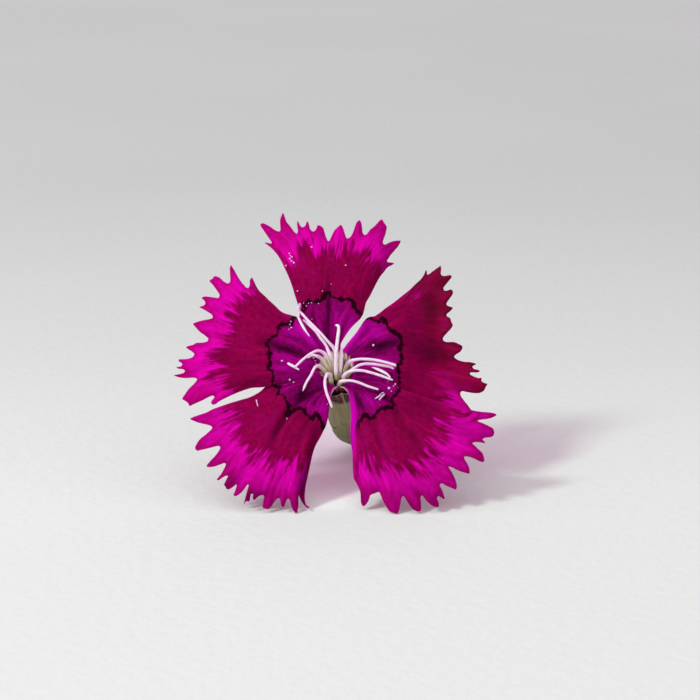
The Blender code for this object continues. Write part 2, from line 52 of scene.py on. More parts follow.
EYE_RISE, EYE_DISTANCE, EYE_FOCAL = math.radians(15.0), 320.0, 3008.0
MIDDLE = (350.0, 350.0)
DRAWN_THROAT = (338.0, 372.0)
DRAWN_MOUTH = (336.0, 366.0)

LOOK = np.array((0.0, math.cos(EYE_RISE), -math.sin(EYE_RISE)))
RIGHT = np.array((1.0, 0.0, 0.0))
UP = np.array((0.0, math.sin(EYE_RISE), math.cos(EYE_RISE)))
FACE = np.array(
    (
        -math.sin(FACE_TURN) * math.cos(FACE_TILT),
        -math.cos(FACE_TURN) * math.cos(FACE_TILT),
        math.sin(FACE_TILT),
    )
)
ACROSS = np.array((math.cos(FACE_TURN), -math.sin(FACE_TURN), 0.0))
ALONG = np.cross(FACE, ACROSS)
EYE = (
    THROAT
    - LOOK * EYE_DISTANCE
    - RIGHT * ((DRAWN_THROAT[0] - MIDDLE[0]) / EYE_FOCAL * EYE_DISTANCE)
    + UP * ((DRAWN_THROAT[1] - MIDDLE[1]) / EYE_FOCAL * EYE_DISTANCE)
)


def swerve(w):
    return np.where(w < 0.0, TUBE_SWERVE * (np.sqrt(w * w + 1.0) - 1.0), 0.0)


def place(u, v, w):
    """Points of the flower's own frame: u across the face, v up the face, w out of the face."""
    u, v, w = np.broadcast_arrays(*(np.asarray(a, float) for a in (u, v, w)))
    return THROAT + (u + swerve(w))[..., None] * ACROSS + v[..., None] * ALONG + w[..., None] * FACE


def seen_at(x, y, height):
    """(u, v) of drawn points where they lie this high over the plane of the mouth."""
    x, y = np.asarray(x, float), np.asarray(y, float)
    sight = (
        LOOK
        + ((x - MIDDLE[0]) / EYE_FOCAL)[..., None] * RIGHT
        - ((y - MIDDLE[1]) / EYE_FOCAL)[..., None] * UP
    )
    run = (height - FACE.dot(EYE - THROAT)) / sight.dot(FACE)
    hit = EYE + sight * run[..., None] - THROAT
    return hit.dot(ACROSS) - swerve(height), hit.dot(ALONG)


def smooth(t):
    t = np.clip(t, 0.0, 1.0)
    return t * t * (3.0 - 2.0 * t)


def soft_ramp(t, width):
    return 0.5 * (t + np.sqrt(t * t + width * width))


# ==================================================================== petals
# side_a, teeth and side_b: the outline, from one end of the claw round to the other.
# ring: the dark jagged line between the inner and the outer zone. border: where the crimson gives way to the bright
# fringe. creases: (points, half width in mm, depth in mm), each a fold that also gets painted shade along it.
# patches: (x, y, reach along x, reach along y, turn in degrees, amount), painted light that makes it lighter above 0
# and painted shade that makes it darker below it, some of them the petal's own uneven colour. roll: (depth, width) of
# each side margin that curls back. The last ellipses, (x, y, reach along x, reach along y), mark where a fringe bent
# away from the lamp is painted crimson-red, painted shade and light through the sheet; the number given for the lower
# petals paints shade over their fringe.
PETALS = {
    "petal_top": {
        "axis": 94.5, "claw": 102.0, "lift": 0.40, "lean": 0.21, "left_drop": 0.35, "right_drop": 0.60,
        "span": (-35.5, 32.5), "seed": 1.3,
        "side_a": ((329.3, 362), (326.8, 355), (323, 348.5), (316, 339), (308, 329.5), (301, 321), (298.3, 316.5), (298, 311), (297.5, 304), (295, 296),
                   (292, 286), (289, 278), (285, 269), (280, 259), (275, 252), (270, 247)),
        "teeth": ((264.7, 242.5), (271, 243.5), (271.8, 243.2), (268, 237), (264, 231), (260.5, 225.5), (260.5, 224),
                  (263, 223.2), (270, 226.5), (275, 230), (278.5, 231.3), (280, 230.8), (280, 220), (281.2, 216),
                  (283, 213), (284.5, 216), (286.2, 221), (290, 226), (295, 232.5), (296.5, 233.5), (297.8, 232),
                  (297, 224), (297.5, 221), (299, 223), (300.5, 226), (302.5, 227.2), (305, 226), (307.2, 221),
                  (309, 224.5), (310, 228.5), (312, 231), (314, 231.2), (316, 229), (317.8, 225.2), (320, 225.5),
                  (323.2, 228), (324.5, 232), (326, 237), (328.5, 241), (331.5, 236), (334, 231), (338, 227),
                  (341, 224.8), (343, 228), (345, 234), (347, 238.3), (350, 237), (352.5, 233), (355, 226),
                  (357, 221.5), (359.5, 220), (361.2, 222.5), (362.2, 228), (362.8, 233), (364.8, 235), (367, 234),
                  (370, 230), (375, 226), (380, 220.5), (382, 219.8), (384, 222.5), (386.5, 225.5), (386.8, 227.5),
                  (385.5, 234), (383.5, 240), (383, 243), (385, 244.8), (390, 242.5), (395, 241), (400.5, 240.8),
                  (400.5, 242.5), (395, 250), (390, 256), (387, 260), (388, 261.5), (391, 262), (394, 262.8)),
        "side_b": ((392.5, 264.8), (388, 267), (384, 272), (380, 277), (375, 286), (370, 296), (366, 303), (365, 307),
                   (363.5, 313), (361, 318), (355, 324), (350, 329.5), (344, 338), (341.2, 342.6), (340.6, 346.5), (341.2, 351), (342.6, 356),
                   (342.8, 360)),
        "ring": ((280, 318), (299, 313), (306, 310), (305.5, 304), (310, 303), (319, 302), (323, 299.5), (326, 296),
                 (328.4, 292), (330, 296), (332, 298), (339, 300), (346, 300), (352, 302), (354, 308), (360, 313),
                 (380, 322)),
        "border": ((270, 256), (280, 258), (287, 264), (294, 265), (297, 256), (302, 248), (307, 242.5), (312, 246),
                   (316, 251), (319, 254), (322, 252.5), (326, 249.5), (330, 253), (337, 258.5), (341, 251),
                   (343, 245.5), (345.5, 255), (350, 247), (353, 248), (356, 250.5), (362, 254), (364, 250.5),
                   (366.5, 261), (370, 256), (372, 271), (377, 262), (379, 274), (384, 284)),
        "creases": ((((327.5, 345), (327, 330), (328.5, 312), (328.6, 298), (328.5, 278)), 0.34, 0.17),
                    (((338, 342), (344, 328), (350, 314)), 0.26, 0.12),
                    (((318, 338), (311, 322), (307, 311)), 0.26, 0.07)),
        "patches": ((348, 332, 4.5, 18, 20, 0.95), (320, 338, 4, 16, -28, 0.5), (336.5, 320, 4, 22, 0, 0.3),
                    (328.6, 316, 3, 22, 0, -0.7), (314, 314, 5, 12, -15, -0.15), (378, 280, 9, 30, 28, -0.4),
                    (298, 262, 8, 18, -35, 0.2), (388, 246, 12, 22, 20, -0.3), (285, 236, 8, 10, -30, 0.25),
                    (340, 236, 6, 8, 0, 0.2), (328, 285, 3, 14, 0, -0.3)),
        "roll": ((0.22, 0.9), (0.50, 1.3)), "backlit_shade": (),
    },
    "petal_upper_right": {
        "axis": 24.0, "claw": 30.0, "lift": 0.40, "lean": 0.0, "left_drop": 0.35, "right_drop": 0.95,
        "bend_at": 10.2, "bend": 1.25,
        "span": (-38.5, 35.5), "seed": 4.1,
        "side_a": ((343.2, 360), (343, 356), (341.8, 351.3), (342.8, 349.5), (344.5, 347.2), (346.4, 344.4), (350, 340), (355, 334), (360, 327),
                   (364, 321), (367, 318), (371, 316.5), (374, 316.3), (380, 312.5), (385, 308.5), (390, 305),
                   (395, 301.5), (400, 297.5), (405, 293.5), (410, 289.5), (415, 284.5), (420, 280), (422.5, 277),
                   (424.2, 274)),
        "teeth": ((426, 269.8), (427, 271.5), (427, 274), (427.8, 274.5), (433, 271), (438, 267.5), (440.5, 265.8),
                  (441.2, 268), (441, 274), (442.5, 275.8), (446, 275.8), (450, 275), (451.8, 276.5), (450, 279.5),
                  (446, 284.5), (443.5, 288), (444.5, 290.5), (447, 290.5), (451, 289.5), (453, 291.5), (452.5, 294.5),
                  (450, 298), (447, 302.5), (446.5, 304.5), (448.5, 306), (452.8, 307.8), (450.5, 311), (447, 314),
                  (446.8, 316), (450, 318), (451.5, 322), (452.8, 325), (450, 330), (446, 334), (443, 338),
                  (443.5, 340.5), (446, 341.8), (454, 342), (458, 343.5), (462.5, 346.5), (461, 351), (456, 354.5),
                  (454.2, 356.5), (456, 358.8), (463, 361.5), (470, 362), (474, 363), (476.2, 364), (472.5, 366.5),
                  (473.5, 368.5), (478, 369.8), (480, 371), (478, 372.2), (470.5, 372.5), (470, 374), (473, 376),
                  (479, 378), (481.5, 377.8), (481.5, 381), (484.5, 383), (487.5, 384), (486, 386.5), (484, 390.5),
                  (480, 392.8), (474, 393), (467, 392), (462, 391.2), (460.5, 392.5), (461, 396), (464.5, 401),
                  (468.5, 406), (472, 411.5)),
        "side_b": ((472, 416), (460, 413), (445, 408), (430, 403), (415, 398.5), (404, 394.5), (396, 390.5),
                   (385, 385.5), (370, 379.5), (360, 376.2), (354, 374.6), (351.5, 374)),
        "ring": ((360, 312), (368, 318), (373, 320.5), (378, 321.5), (383, 319.5), (386, 325), (389, 330), (393, 333),
                 (398, 336), (400.5, 341), (399, 347), (400, 354), (400.5, 361), (397.5, 365), (397, 369), (398.5, 377),
                 (398, 386), (397, 396)),
        "border": ((404, 288), (412, 289), (409, 297), (415, 294), (416, 299), (423, 293), (427, 297), (431, 296),
                   (436, 303), (434, 315), (437, 322), (433, 333), (437, 345), (447, 356), (444, 365), (437, 371),
                   (442, 379), (434, 381), (446, 390), (437, 392), (450, 402), (444, 402), (458, 412), (455, 420)),
        "creases": ((((349, 353), (363, 348), (380, 343.5), (398, 339.5)), 0.40, 0.20),
                    (((352, 357), (368, 357), (385, 352)), 0.26, 0.08),
                    (((352, 346), (364, 334), (374, 324)), 0.24, 0.08)),
        "patches": ((352, 339, 5, 20, 36, 1.0), (363, 345, 3, 16, 48, 0.45), (382, 346, 22, 6.0, -18, -0.95),
                    (376, 331, 9, 8, 30, 0.5), (380, 362, 18, 6, 0, 0.6), (366, 352, 8, 5, -20, 0.4),
                    (430, 309, 9, 19, -13, -0.58), (421, 350, 21, 20, 0, -0.52), (436, 359, 15, 10, 34, -0.38),
                    (411, 322, 15, 15, 0, -0.26), (408, 293.5, 1.1, 7, 46, 0.8), (416, 289.5, 1.2, 9, 43, 0.8),
                    (424.5, 284.5, 1.1, 8, 41, 0.4), (412, 291.5, 1.3, 8, 44, -0.7), (420.4, 287.5, 1.3, 8, 42, -0.7),
                    (441, 322, 5, 16, 0, 0.12), (429, 280, 11, 7, -42, 0.34), (436, 368, 8, 5, 35, 0.2), (446, 384, 14, 4, 36, 0.6),
                    (463, 377, 17, 11, 28, 0.34), (452, 282, 8, 10, 0, -0.2)),
        "roll": ((0.22, 0.9), (0.28, 0.9)),
        "backlit_shade": ((448, 304, 31, 42), (452, 335, 32, 36), (463, 364, 35, 24), (434, 280, 31, 25), (482, 383, 22, 18),
                 (436, 326, 17, 32), (443, 361, 17, 16), (466, 377, 27, 14)),
    },
    "petal_lower_right": {
        "axis": 310.0, "claw": 312.0, "lift": 0.55, "lean": -0.02, "left_drop": 0.00, "right_drop": 0.60,
        "span": (-36.5, 38.5), "inner": 1.42, "seed": 7.7, "fringe_shade": 0.26,
        "side_a": ((339, 383), (339.8, 385.8), (343.5, 388), (346.8, 391.5), (349, 396.5), (349.9, 401), (350.3, 406), (350.9, 415), (350.3, 430), (350.5, 440.5), (352, 451), (352.5, 459.7),
                   (352.7, 468), (354, 479), (356.7, 484), (360, 491.7), (361.2, 503.5)),
        "teeth": ((363, 506), (365.3, 505), (368.5, 500.3), (370.6, 495), (374.9, 493.3), (379, 492), (380.7, 495),
                  (382.8, 500.3), (385.5, 505.6), (389.8, 511.5), (394, 512.8), (397.2, 513.6), (398.8, 511),
                  (400.4, 504.5), (401.5, 498), (403.1, 496), (405.8, 499.2), (409, 504.5), (413.2, 509.3),
                  (418.6, 511.5), (420.7, 510.4), (421.2, 504.5), (420.7, 497), (422, 495.5), (425, 499.2),
                  (430.3, 504.5), (435.6, 506.9), (438.6, 506.7), (438.8, 503.5), (437.2, 498.1), (438.3, 496),
                  (441, 497.6), (444.4, 499.2), (443.6, 493.9), (441.5, 488.5), (439.9, 485.3), (441.5, 483.2),
                  (445.2, 485.3), (450.5, 487.5), (455.9, 489.4), (456.9, 486.4), (455.9, 481), (452.7, 473.6),
                  (449.5, 468.2), (448.4, 466.6), (451.6, 467.2), (458, 470.4), (464.4, 472.5), (469.2, 473.4),
                  (469.5, 469.3), (467.6, 464), (464.4, 458.6), (464.4, 456.7), (467.6, 456.5), (474, 458.6),
                  (480.4, 461.6), (483.6, 462), (484.4, 459.7), (482.5, 453.3), (478.3, 449), (474, 444.8),
                  (472.4, 443.2), (474, 442.1), (479.3, 442.1), (485.2, 443), (484.1, 441), (482.5, 439.4),
                  (484.7, 437.8), (488.9, 437.3), (492.7, 436.2), (494.3, 433), (493.2, 428.8), (488.9, 426),
                  (483.6, 423.4), (477.7, 420.8), (480.4, 419.7), (486.8, 418.9), (492.1, 417.6), (496.6, 414.7),
                  (494.3, 413.3), (487.9, 412.2), (481.5, 411.7), (473.5, 410.4)),
        "side_b": ((462, 408), (452, 406), (443, 403.5), (434, 400.5), (425.5, 397.5), (416, 394), (407, 391),
                   (398, 386), (385, 381), (370, 376.8), (360, 375), (354, 374.2), (350.5, 374.2)),
        "ring": ((410, 380), (399.4, 388), (395, 394), (390.8, 400), (392, 406), (382.3, 408), (378, 410),
                 (373.8, 415.4), (370.6, 417), (365.3, 413.8), (361, 418), (357.5, 424), (355, 436), (353.6, 452), (350, 464), (340, 474)),
        "bare": (353.0, 446.0, 19.0),
        "border": ((346, 480), (356, 473), (357.5, 464), (361.8, 457.5), (364, 463), (368.5, 467), (371, 460),
                   (373, 457.5), (376, 464), (379, 473), (381, 463), (383, 460), (387, 468), (390.8, 463), (394, 462),
                   (398.6, 472.5), (402, 465.5), (407, 462.5), (412, 470.5), (416.5, 462.5), (420, 467), (424.3, 475),
                   (423, 461), (425.4, 451), (432, 455), (438.8, 461), (434, 448), (431, 440), (443, 446),
                   (433, 431), (445, 441.5), (446, 432), (439, 422), (449, 418), (451, 412.5), (462, 416.5),
                   (474, 418.5), (455, 409), (440, 398)),
        "creases": ((((350, 388), (357, 397), (364, 410), (368, 420)), 0.34, 0.18),
                    (((358, 383), (372, 390), (390, 401), (398, 413), (405, 425)), 0.32, 0.14),
                    (((352, 384), (366, 394), (380, 405)), 0.26, 0.06),
                    (((371, 418), (380, 442), (390, 470)), 0.40, 0.10),
                    (((391, 408), (412, 436), (426, 462)), 0.40, 0.08)),
        "patches": ((352.6, 410, 3.2, 24, -3, 1.0), (353.2, 440, 2.8, 30, -3, 0.8), (360, 402, 3, 12, -28, -0.7),
                    (384, 397, 4, 13, -52, -0.6), (370, 401, 4, 9, -35, 0.4), (392, 398, 5, 6, -30, 0.1),
                    (420, 405, 20, 12, 15, -0.35), (400, 425, 4, 30, -40, -0.2), (384, 440, 6, 22, -12, 0.14),
                    (364, 440, 5, 18, 0, 0.18), (440, 500, 10, 8, 0, -0.35), (414, 508, 8, 5, 0, -0.2),
                    (362, 500, 4, 8, 0, -0.3), (460, 447, 14, 8, 25, 0.3), (445, 408, 10, 4, 20, 0.25),
                    (386, 486, 5, 10, 0, 0.3), (366, 478, 3, 8, 0, 0.3)),
        "roll": ((0.55, 1.1), (0.00, 0.8)), "backlit_shade": (),
    },
    "petal_lower_left": {
        "axis": 229.0, "claw": 238.0, "lift": 0.45, "lean": 0.05, "left_drop": 0.50, "right_drop": 0.60,
        "span": (-34.5, 36.5), "inner": 1.42, "seed": 2.9, "fringe_shade": 0.15,
        "side_a": ((326.5, 375.7), (321, 375), (314, 374.5), (300, 375.5), (285, 378), (274, 381.5), (266, 386),
                   (260, 391.5), (250, 397), (240, 400),
                   (230, 403), (220, 406.5), (213, 409), (206, 412.5), (200, 414.5), (192, 417.5)),
        "teeth": ((190.2, 418.8), (194, 421), (200, 423), (207, 424.5), (211, 426), (212.2, 427.5), (210.5, 430),
                  (205, 435), (200, 439), (196.5, 444), (195, 448), (197, 450.5), (200, 450), (207, 448.5),
                  (215, 446.5), (219, 446), (220.2, 447.5), (218, 452), (214, 457), (210, 461), (206.5, 466),
                  (208, 467), (214, 466.5), (220, 464.5), (224.5, 463), (225.8, 464), (224.5, 467.5), (221, 474),
                  (216.8, 479.5), (218, 480.2), (223, 477), (226.5, 475.5), (227.8, 476), (226, 480), (224, 485),
                  (225, 486), (227, 489.2), (230, 488.8), (234, 486), (235.8, 484.5), (236.5, 485), (235, 491),
                  (233.5, 495), (235, 496), (240, 493.5), (245, 488), (247.5, 484.5), (248.5, 485), (247, 491),
                  (245.5, 497), (244, 504.2), (246.5, 501), (249, 501.5), (250, 499.5), (251, 494), (253, 494),
                  (252.8, 498), (254, 500), (259, 496), (263, 495), (264, 496), (263, 503), (262.8, 507.5),
                  (268, 509), (271, 507), (275, 501), (278.5, 498), (280, 500), (281, 505), (282.5, 507.2),
                  (284, 506.5), (287, 499.5), (288.5, 498.5), (290, 501), (292, 508), (295.5, 512.8), (297, 512.5),
                  (298.2, 508), (298.5, 498), (298.8, 495.5), (300, 498), (302, 502), (305, 506), (307.5, 508.2),
                  (309.5, 508), (309, 507)),
        "side_b": ((306.5, 505), (305, 500), (305.5, 488), (308, 476), (310.5, 464), (313, 453), (316, 445),
                   (320, 438), (324, 430), (326, 426), (328, 418), (329, 411), (329.5, 405), (331, 397), (332.6, 392), (335.2, 388.2), (337.8, 386),
                   (338.4, 383)),
        "ring": ((266, 376), (277.5, 386), (281, 387), (278, 393), (283, 394.5), (286, 399), (289, 405), (290.5, 409),
                 (287, 414), (293, 410), (296, 408.5), (304, 409), (306.5, 413), (309, 415), (312, 418), (316, 413),
                 (320, 417), (322, 421), (326, 430), (330, 446)),
        "border": ((214, 400), (224, 407.5), (232, 409), (240, 412.5), (233, 417), (226, 423), (237, 424),
                   (237, 428), (232, 432), (242, 436), (237, 441), (244, 448), (246, 453), (250, 456), (254, 453),
                   (258, 452), (253, 464), (262, 456), (266, 455), (271, 452), (262, 468), (268, 464), (271, 473),
                   (276, 459), (280, 459), (284, 460.5), (282.5, 473), (288, 460), (291.7, 469), (298, 457),
                   (302, 467), (305, 458), (309, 468), (316, 480)),
        "creases": ((((330, 386), (312, 393), (300, 402), (291, 410), (281, 423), (270, 447)), 0.36, 0.16),
                    (((322, 392), (312, 404), (303, 412)), 0.26, 0.08),
                    (((318, 383), (300, 388), (286, 395)), 0.26, 0.08),
                    (((309, 418), (302, 432), (294, 455)), 0.36, 0.10)),
        "patches": ((323.5, 408, 3.6, 16, 12, 0.7), (302, 394, 5.5, 14, 35, -0.65), (311, 408, 5, 5, 0, 0.45),
                    (298, 405, 5, 4, 0, 0.3), (305, 394, 24, 14, -40, -0.42), (316, 388, 6, 8, 20, 0.15), (277, 430, 3.4, 22, 28, -0.45),
                    (310, 455, 5, 34, 14, -0.65), (302, 492, 5, 18, 4, -0.6), (262, 425, 16, 14, -30, 0.10),
                    (247, 393, 18, 5, -17, -0.3), (254, 496, 14, 6, -10, -0.6), (228, 482, 12, 6, -35, -0.4),
                    (282, 504, 14, 4, 0, -0.35), (290, 480, 3, 10, 0, 0.3), (235, 440, 8, 6, -20, 0.25)),
        "roll": ((0.30, 0.9), (0.55, 1.2)), "backlit_shade": (),
    },
    "petal_left": {
        "axis": 167.0, "claw": 168.0, "lift": 0.60, "lean": 0.04, "left_drop": 0.30, "right_drop": 0.35,
        "span": (-32.5, 34.5), "seed": 5.5,
        "side_a": ((328.6, 362), (326.3, 354.5), (322.5, 347), (316, 337.3), (308, 327.3), (302, 321.3), (297.5, 317.3), (290, 314.8), (284, 313), (280, 310.5),
                   (275, 305.5), (270, 301), (265, 296), (260, 291.5), (258, 289), (255.5, 284.5), (253.5, 280)),
        "teeth": ((251.7, 277), (250, 279.5), (249.8, 285), (249, 287.2), (247.2, 287.8), (244, 285), (240, 280),
                  (236.5, 274), (233, 268), (231, 265.2), (229.8, 268), (230, 274), (230.2, 280), (229.5, 282.5),
                  (227.5, 283.3), (224, 281.5), (220, 278), (216, 276.2), (213.8, 276.5), (212.5, 278.5),
                  (209.5, 280.5), (213, 285), (217, 290.5), (219.5, 295), (218.2, 297.8), (215, 297.5), (208, 296.5),
                  (204, 296.5), (201.5, 298), (204, 300), (205.3, 303), (204, 305.2), (199.5, 307), (203, 309),
                  (208, 312), (212, 315), (212.5, 317.8), (210, 319), (204, 320), (197, 322), (193, 323.8),
                  (195, 326.5), (199, 331), (205, 335.5), (208.2, 339), (207, 341.2), (202, 342.5), (196, 342.8),
                  (193.5, 344.5), (186, 347), (188, 349), (192, 351.5), (194.2, 354), (192.5, 357), (187, 359),
                  (178.5, 359.7), (179, 361.5), (181.5, 363), (182, 365), (180, 366.5), (176.5, 367), (178, 368.5),
                  (183, 369.2), (184.8, 371), (183, 373), (174, 375.2), (178, 377), (185, 378), (195, 377.8),
                  (197, 379.2), (194, 383.5), (189, 388.5), (185, 394), (182.2, 399), (184, 400.2), (188, 403),
                  (189.5, 405.8), (194, 404), (202, 400.5), (210, 396.5), (213, 395.8), (214.2, 397), (211.5, 401),
                  (211.2, 403.5)),
        "side_b": ((214, 404.5), (220, 401), (230, 396), (242, 391), (252, 388), (259, 387.5), (264.5, 387), (274, 384.3),
                   (285, 382), (300, 379.5), (314, 377.5), (321, 376.8), (325.2, 376.2)),
        "ring": ((296, 312), (291, 325), (287, 325.5), (280, 326), (278, 334), (276, 337), (271, 340), (267, 343.5),
                 (269.5, 347), (270, 350), (270.5, 360), (270.5, 364), (268.5, 368), (273, 371), (274, 377),
                 (272, 386), (270, 396)),
        "border": ((262, 280), (254, 290), (247, 298), (243, 292), (240, 297), (237, 305.5), (231, 302), (236, 317),
                   (228, 313), (227, 320), (234, 329), (230, 335), (221, 339), (229, 345), (214, 350), (207, 357),
                   (219, 367), (208, 375), (227, 372), (222, 379), (226, 385), (233, 387), (236, 400)),
        "creases": ((((314, 360), (299, 353.5), (284, 347.5), (270, 343), (254, 342)), 0.38, 0.19),
                    (((316, 350), (304, 338), (293, 326)), 0.26, 0.09),
                    (((314, 368), (296, 371), (276, 373)), 0.26, 0.08)),
        "patches": ((306, 334, 4.5, 20, -40, 1.0), (290, 330, 8, 6, 30, 0.3), (285, 349, 15, 3.8, 19, -0.85),
                    (290, 366, 14, 6, -8, 0.35), (305, 362, 8, 6, 0, 0.2), (225, 355, 22, 8, 5, -0.15),
                    (250, 382, 20, 5, -15, -0.5), (262, 340, 10, 4, -5, -0.25), (235, 290, 8, 10, -20, 0.2),
                    (240, 345, 14, 8, 0, 0.1)),
        "roll": ((0.50, 1.0), (0.25, 0.9)), "backlit_shade": (),
    },
}


def blade_height(petal, u, v):
    axis = math.radians(petal["axis"])
    out = np.hypot(u, v)
    aside = np.degrees(np.arctan2(v, u)) - petal["axis"]
    aside = (aside + 180.0) % 360.0 - 180.0
    ahead = u * math.cos(axis) + v * math.sin(axis)
    height = petal["lift"] * smooth((out - BLADE_START) / 5.0)
    height = height + petal["lean"] * soft_ramp(ahead - 4.0, 2.0) * smooth((out - BLADE_START) / 2.0)
    drop = np.where(aside > 0.0, petal["left_drop"], petal["right_drop"])
    height = height - drop * np.minimum(1.5, np.abs(aside) / 35.0) ** 2 * smooth((out - 3.6) / 3.4)
    if "bend" in petal:
        height = height - petal["bend"] * soft_ramp(ahead - petal["bend_at"], 2.2) * smooth((out - BLADE_START) / 3.0)
    return height


def on_blade(petal, drawn, relief=0.0):
    """(u, v) where the lines of sight through drawn points meet the blade, or its surface raised by relief."""
    drawn = np.asarray(drawn, float)
    height = np.zeros(len(drawn))
    for _ in range(60):
        u, v = seen_at(drawn[:, 0], drawn[:, 1], height)
        height = height + 0.5 * (blade_height(petal, u, v) + relief - height)
    return np.stack((u, v), axis=1)


def rounded(points, step, tight=0.5):
    """A centripetal Catmull-Rom curve through the points, with samples about a step apart."""
    points = np.asarray(points, float)
    padded = np.vstack((2 * points[0] - points[1], points, 2 * points[-1] - points[-2]))
    found = []
    for i in range(1, len(padded) - 2):
        p0, p1, p2, p3 = padded[i - 1 : i + 3]
        knots = [0.0]
        for a, b in ((p0, p1), (p1, p2), (p2, p3)):
            knots.append(knots[-1] + max(1e-6, float(np.linalg.norm(b - a))) ** tight)
        t0, t1, t2, t3 = knots
        count = max(1, int(math.ceil(float(np.linalg.norm(p2 - p1)) / step)))
        t = np.linspace(t1, t2, count, endpoint=False)[:, None]
        a1 = (t1 - t) / (t1 - t0) * p0 + (t - t0) / (t1 - t0) * p1
        a2 = (t2 - t) / (t2 - t1) * p1 + (t - t1) / (t2 - t1) * p2
        a3 = (t3 - t) / (t3 - t2) * p2 + (t - t2) / (t3 - t2) * p3
        b1 = (t2 - t) / (t2 - t0) * a1 + (t - t0) / (t2 - t0) * a2
        b2 = (t3 - t) / (t3 - t1) * a2 + (t - t1) / (t3 - t1) * a3
        found.append((t2 - t) / (t2 - t1) * b1 + (t - t1) / (t2 - t1) * b2)
    found.append(points[-1:])
    return np.vstack(found)


def distance_to(points, line, closed=False):
    """How far each point is from a broken line."""
    a = line
    b = np.roll(line, -1, axis=0)
    if not closed:
        a, b = a[:-1], b[:-1]
    run = b - a
    square = np.maximum(1e-12, (run * run).sum(axis=1))
    best = np.empty(len(points))
    for start in range(0, len(points), 2000):
        p = points[start : start + 2000, None, :]
        t = np.clip(((p - a) * run).sum(axis=2) / square, 0.0, 1.0)
        best[start : start + 2000] = np.sqrt((((p - a) - t[..., None] * run) ** 2).sum(axis=2).min(axis=1))
    return best


def inside(points, loop):
    a, b = loop, np.roll(loop, -1, axis=0)
    hit = np.zeros(len(points), bool)
    rise = b[:, 1] - a[:, 1]
    rise = np.where(rise == 0.0, 1e-12, rise)
    for start in range(0, len(points), 4000):
        p = points[start : start + 4000]
        above = (a[None, :, 1] > p[:, None, 1]) != (b[None, :, 1] > p[:, None, 1])
        cross = p[:, None, 0] < (b[:, 0] - a[:, 0]) * (p[:, None, 1] - a[:, 1]) / rise + a[:, 0]
        hit[start : start + 4000] = (above & cross).sum(axis=1) % 2 == 1
    return hit


def ripple(x, seed):
    """A smooth irregular wave of one variable, between about -1 and 1."""
    return (
        np.sin(x + seed)
        + 0.7 * np.sin(1.73 * x + 2.3 * seed + 1.1)
        + 0.5 * np.sin(2.91 * x + 3.7 * seed + 0.4)
    ) / 1.8


def vertex_normals(points, faces):
    n = np.cross(points[faces[:, 1]] - points[faces[:, 0]], points[faces[:, 2]] - points[faces[:, 0]])
    total = np.zeros_like(points)
    for k in range(3):
        np.add.at(total, faces[:, k], n)
    return total / np.maximum(1e-12, np.linalg.norm(total, axis=1))[:, None]


def mesh_piece(name, points, faces, material, attributes=None, replaces=None, smooth_faces=True):
    """A mesh object in metres from points in millimetres, riding on the blossom's body."""
    mesh = bpy.data.meshes.new(name)
    mesh.from_pydata((np.asarray(points) * MM).tolist(), [], [list(map(int, f)) for f in faces])
    mesh.update()
    for key, values in (attributes or {}).items():
        values = np.asarray(values, np.float32)
        if values.ndim == 1:
            mesh.attributes.new(key, "FLOAT", "POINT").data.foreach_set("value", values)
        else:
            mesh.attributes.new(key, "FLOAT_VECTOR", "POINT").data.foreach_set("vector", values.ravel())
    if smooth_faces:
        mesh.shade_smooth()
    obj = bpy.data.objects.new(name, mesh)
    mesh.materials.append(material)
    bpy.context.scene.collection.objects.link(obj)
    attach(obj, "root")
    if replaces:
        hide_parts(*replaces)
    return obj


def on_surface(petal, out, fan, relief, ridge):
    """Points of the petal's upper face, out along the sheet at an angle from the claw. Past the mouth's lip the sheet
    bends down into the tube and becomes the claw, whose ridges stand in from the tube's wall."""
    inner = petal.get("inner", CLAW_INNER)
    start = inner + CLAW_BEND
    run = np.maximum(0.0, start - out)
    quarter = CLAW_BEND * math.pi / 2
    bend = np.minimum(run, quarter) / CLAW_BEND
    reach = np.where(out >= start, out, start - CLAW_BEND * np.sin(bend) - ridge)
    depth = CLAW_BEND * (1.0 - np.cos(bend)) + np.maximum(0.0, run - quarter)
    angle = math.radians(petal["claw"]) + fan
    u, v = np.cos(angle) * reach, np.sin(angle) * reach
    height = np.where(out >= start, blade_height(petal, u, v) + relief, -depth)
    return place(u, v, height)


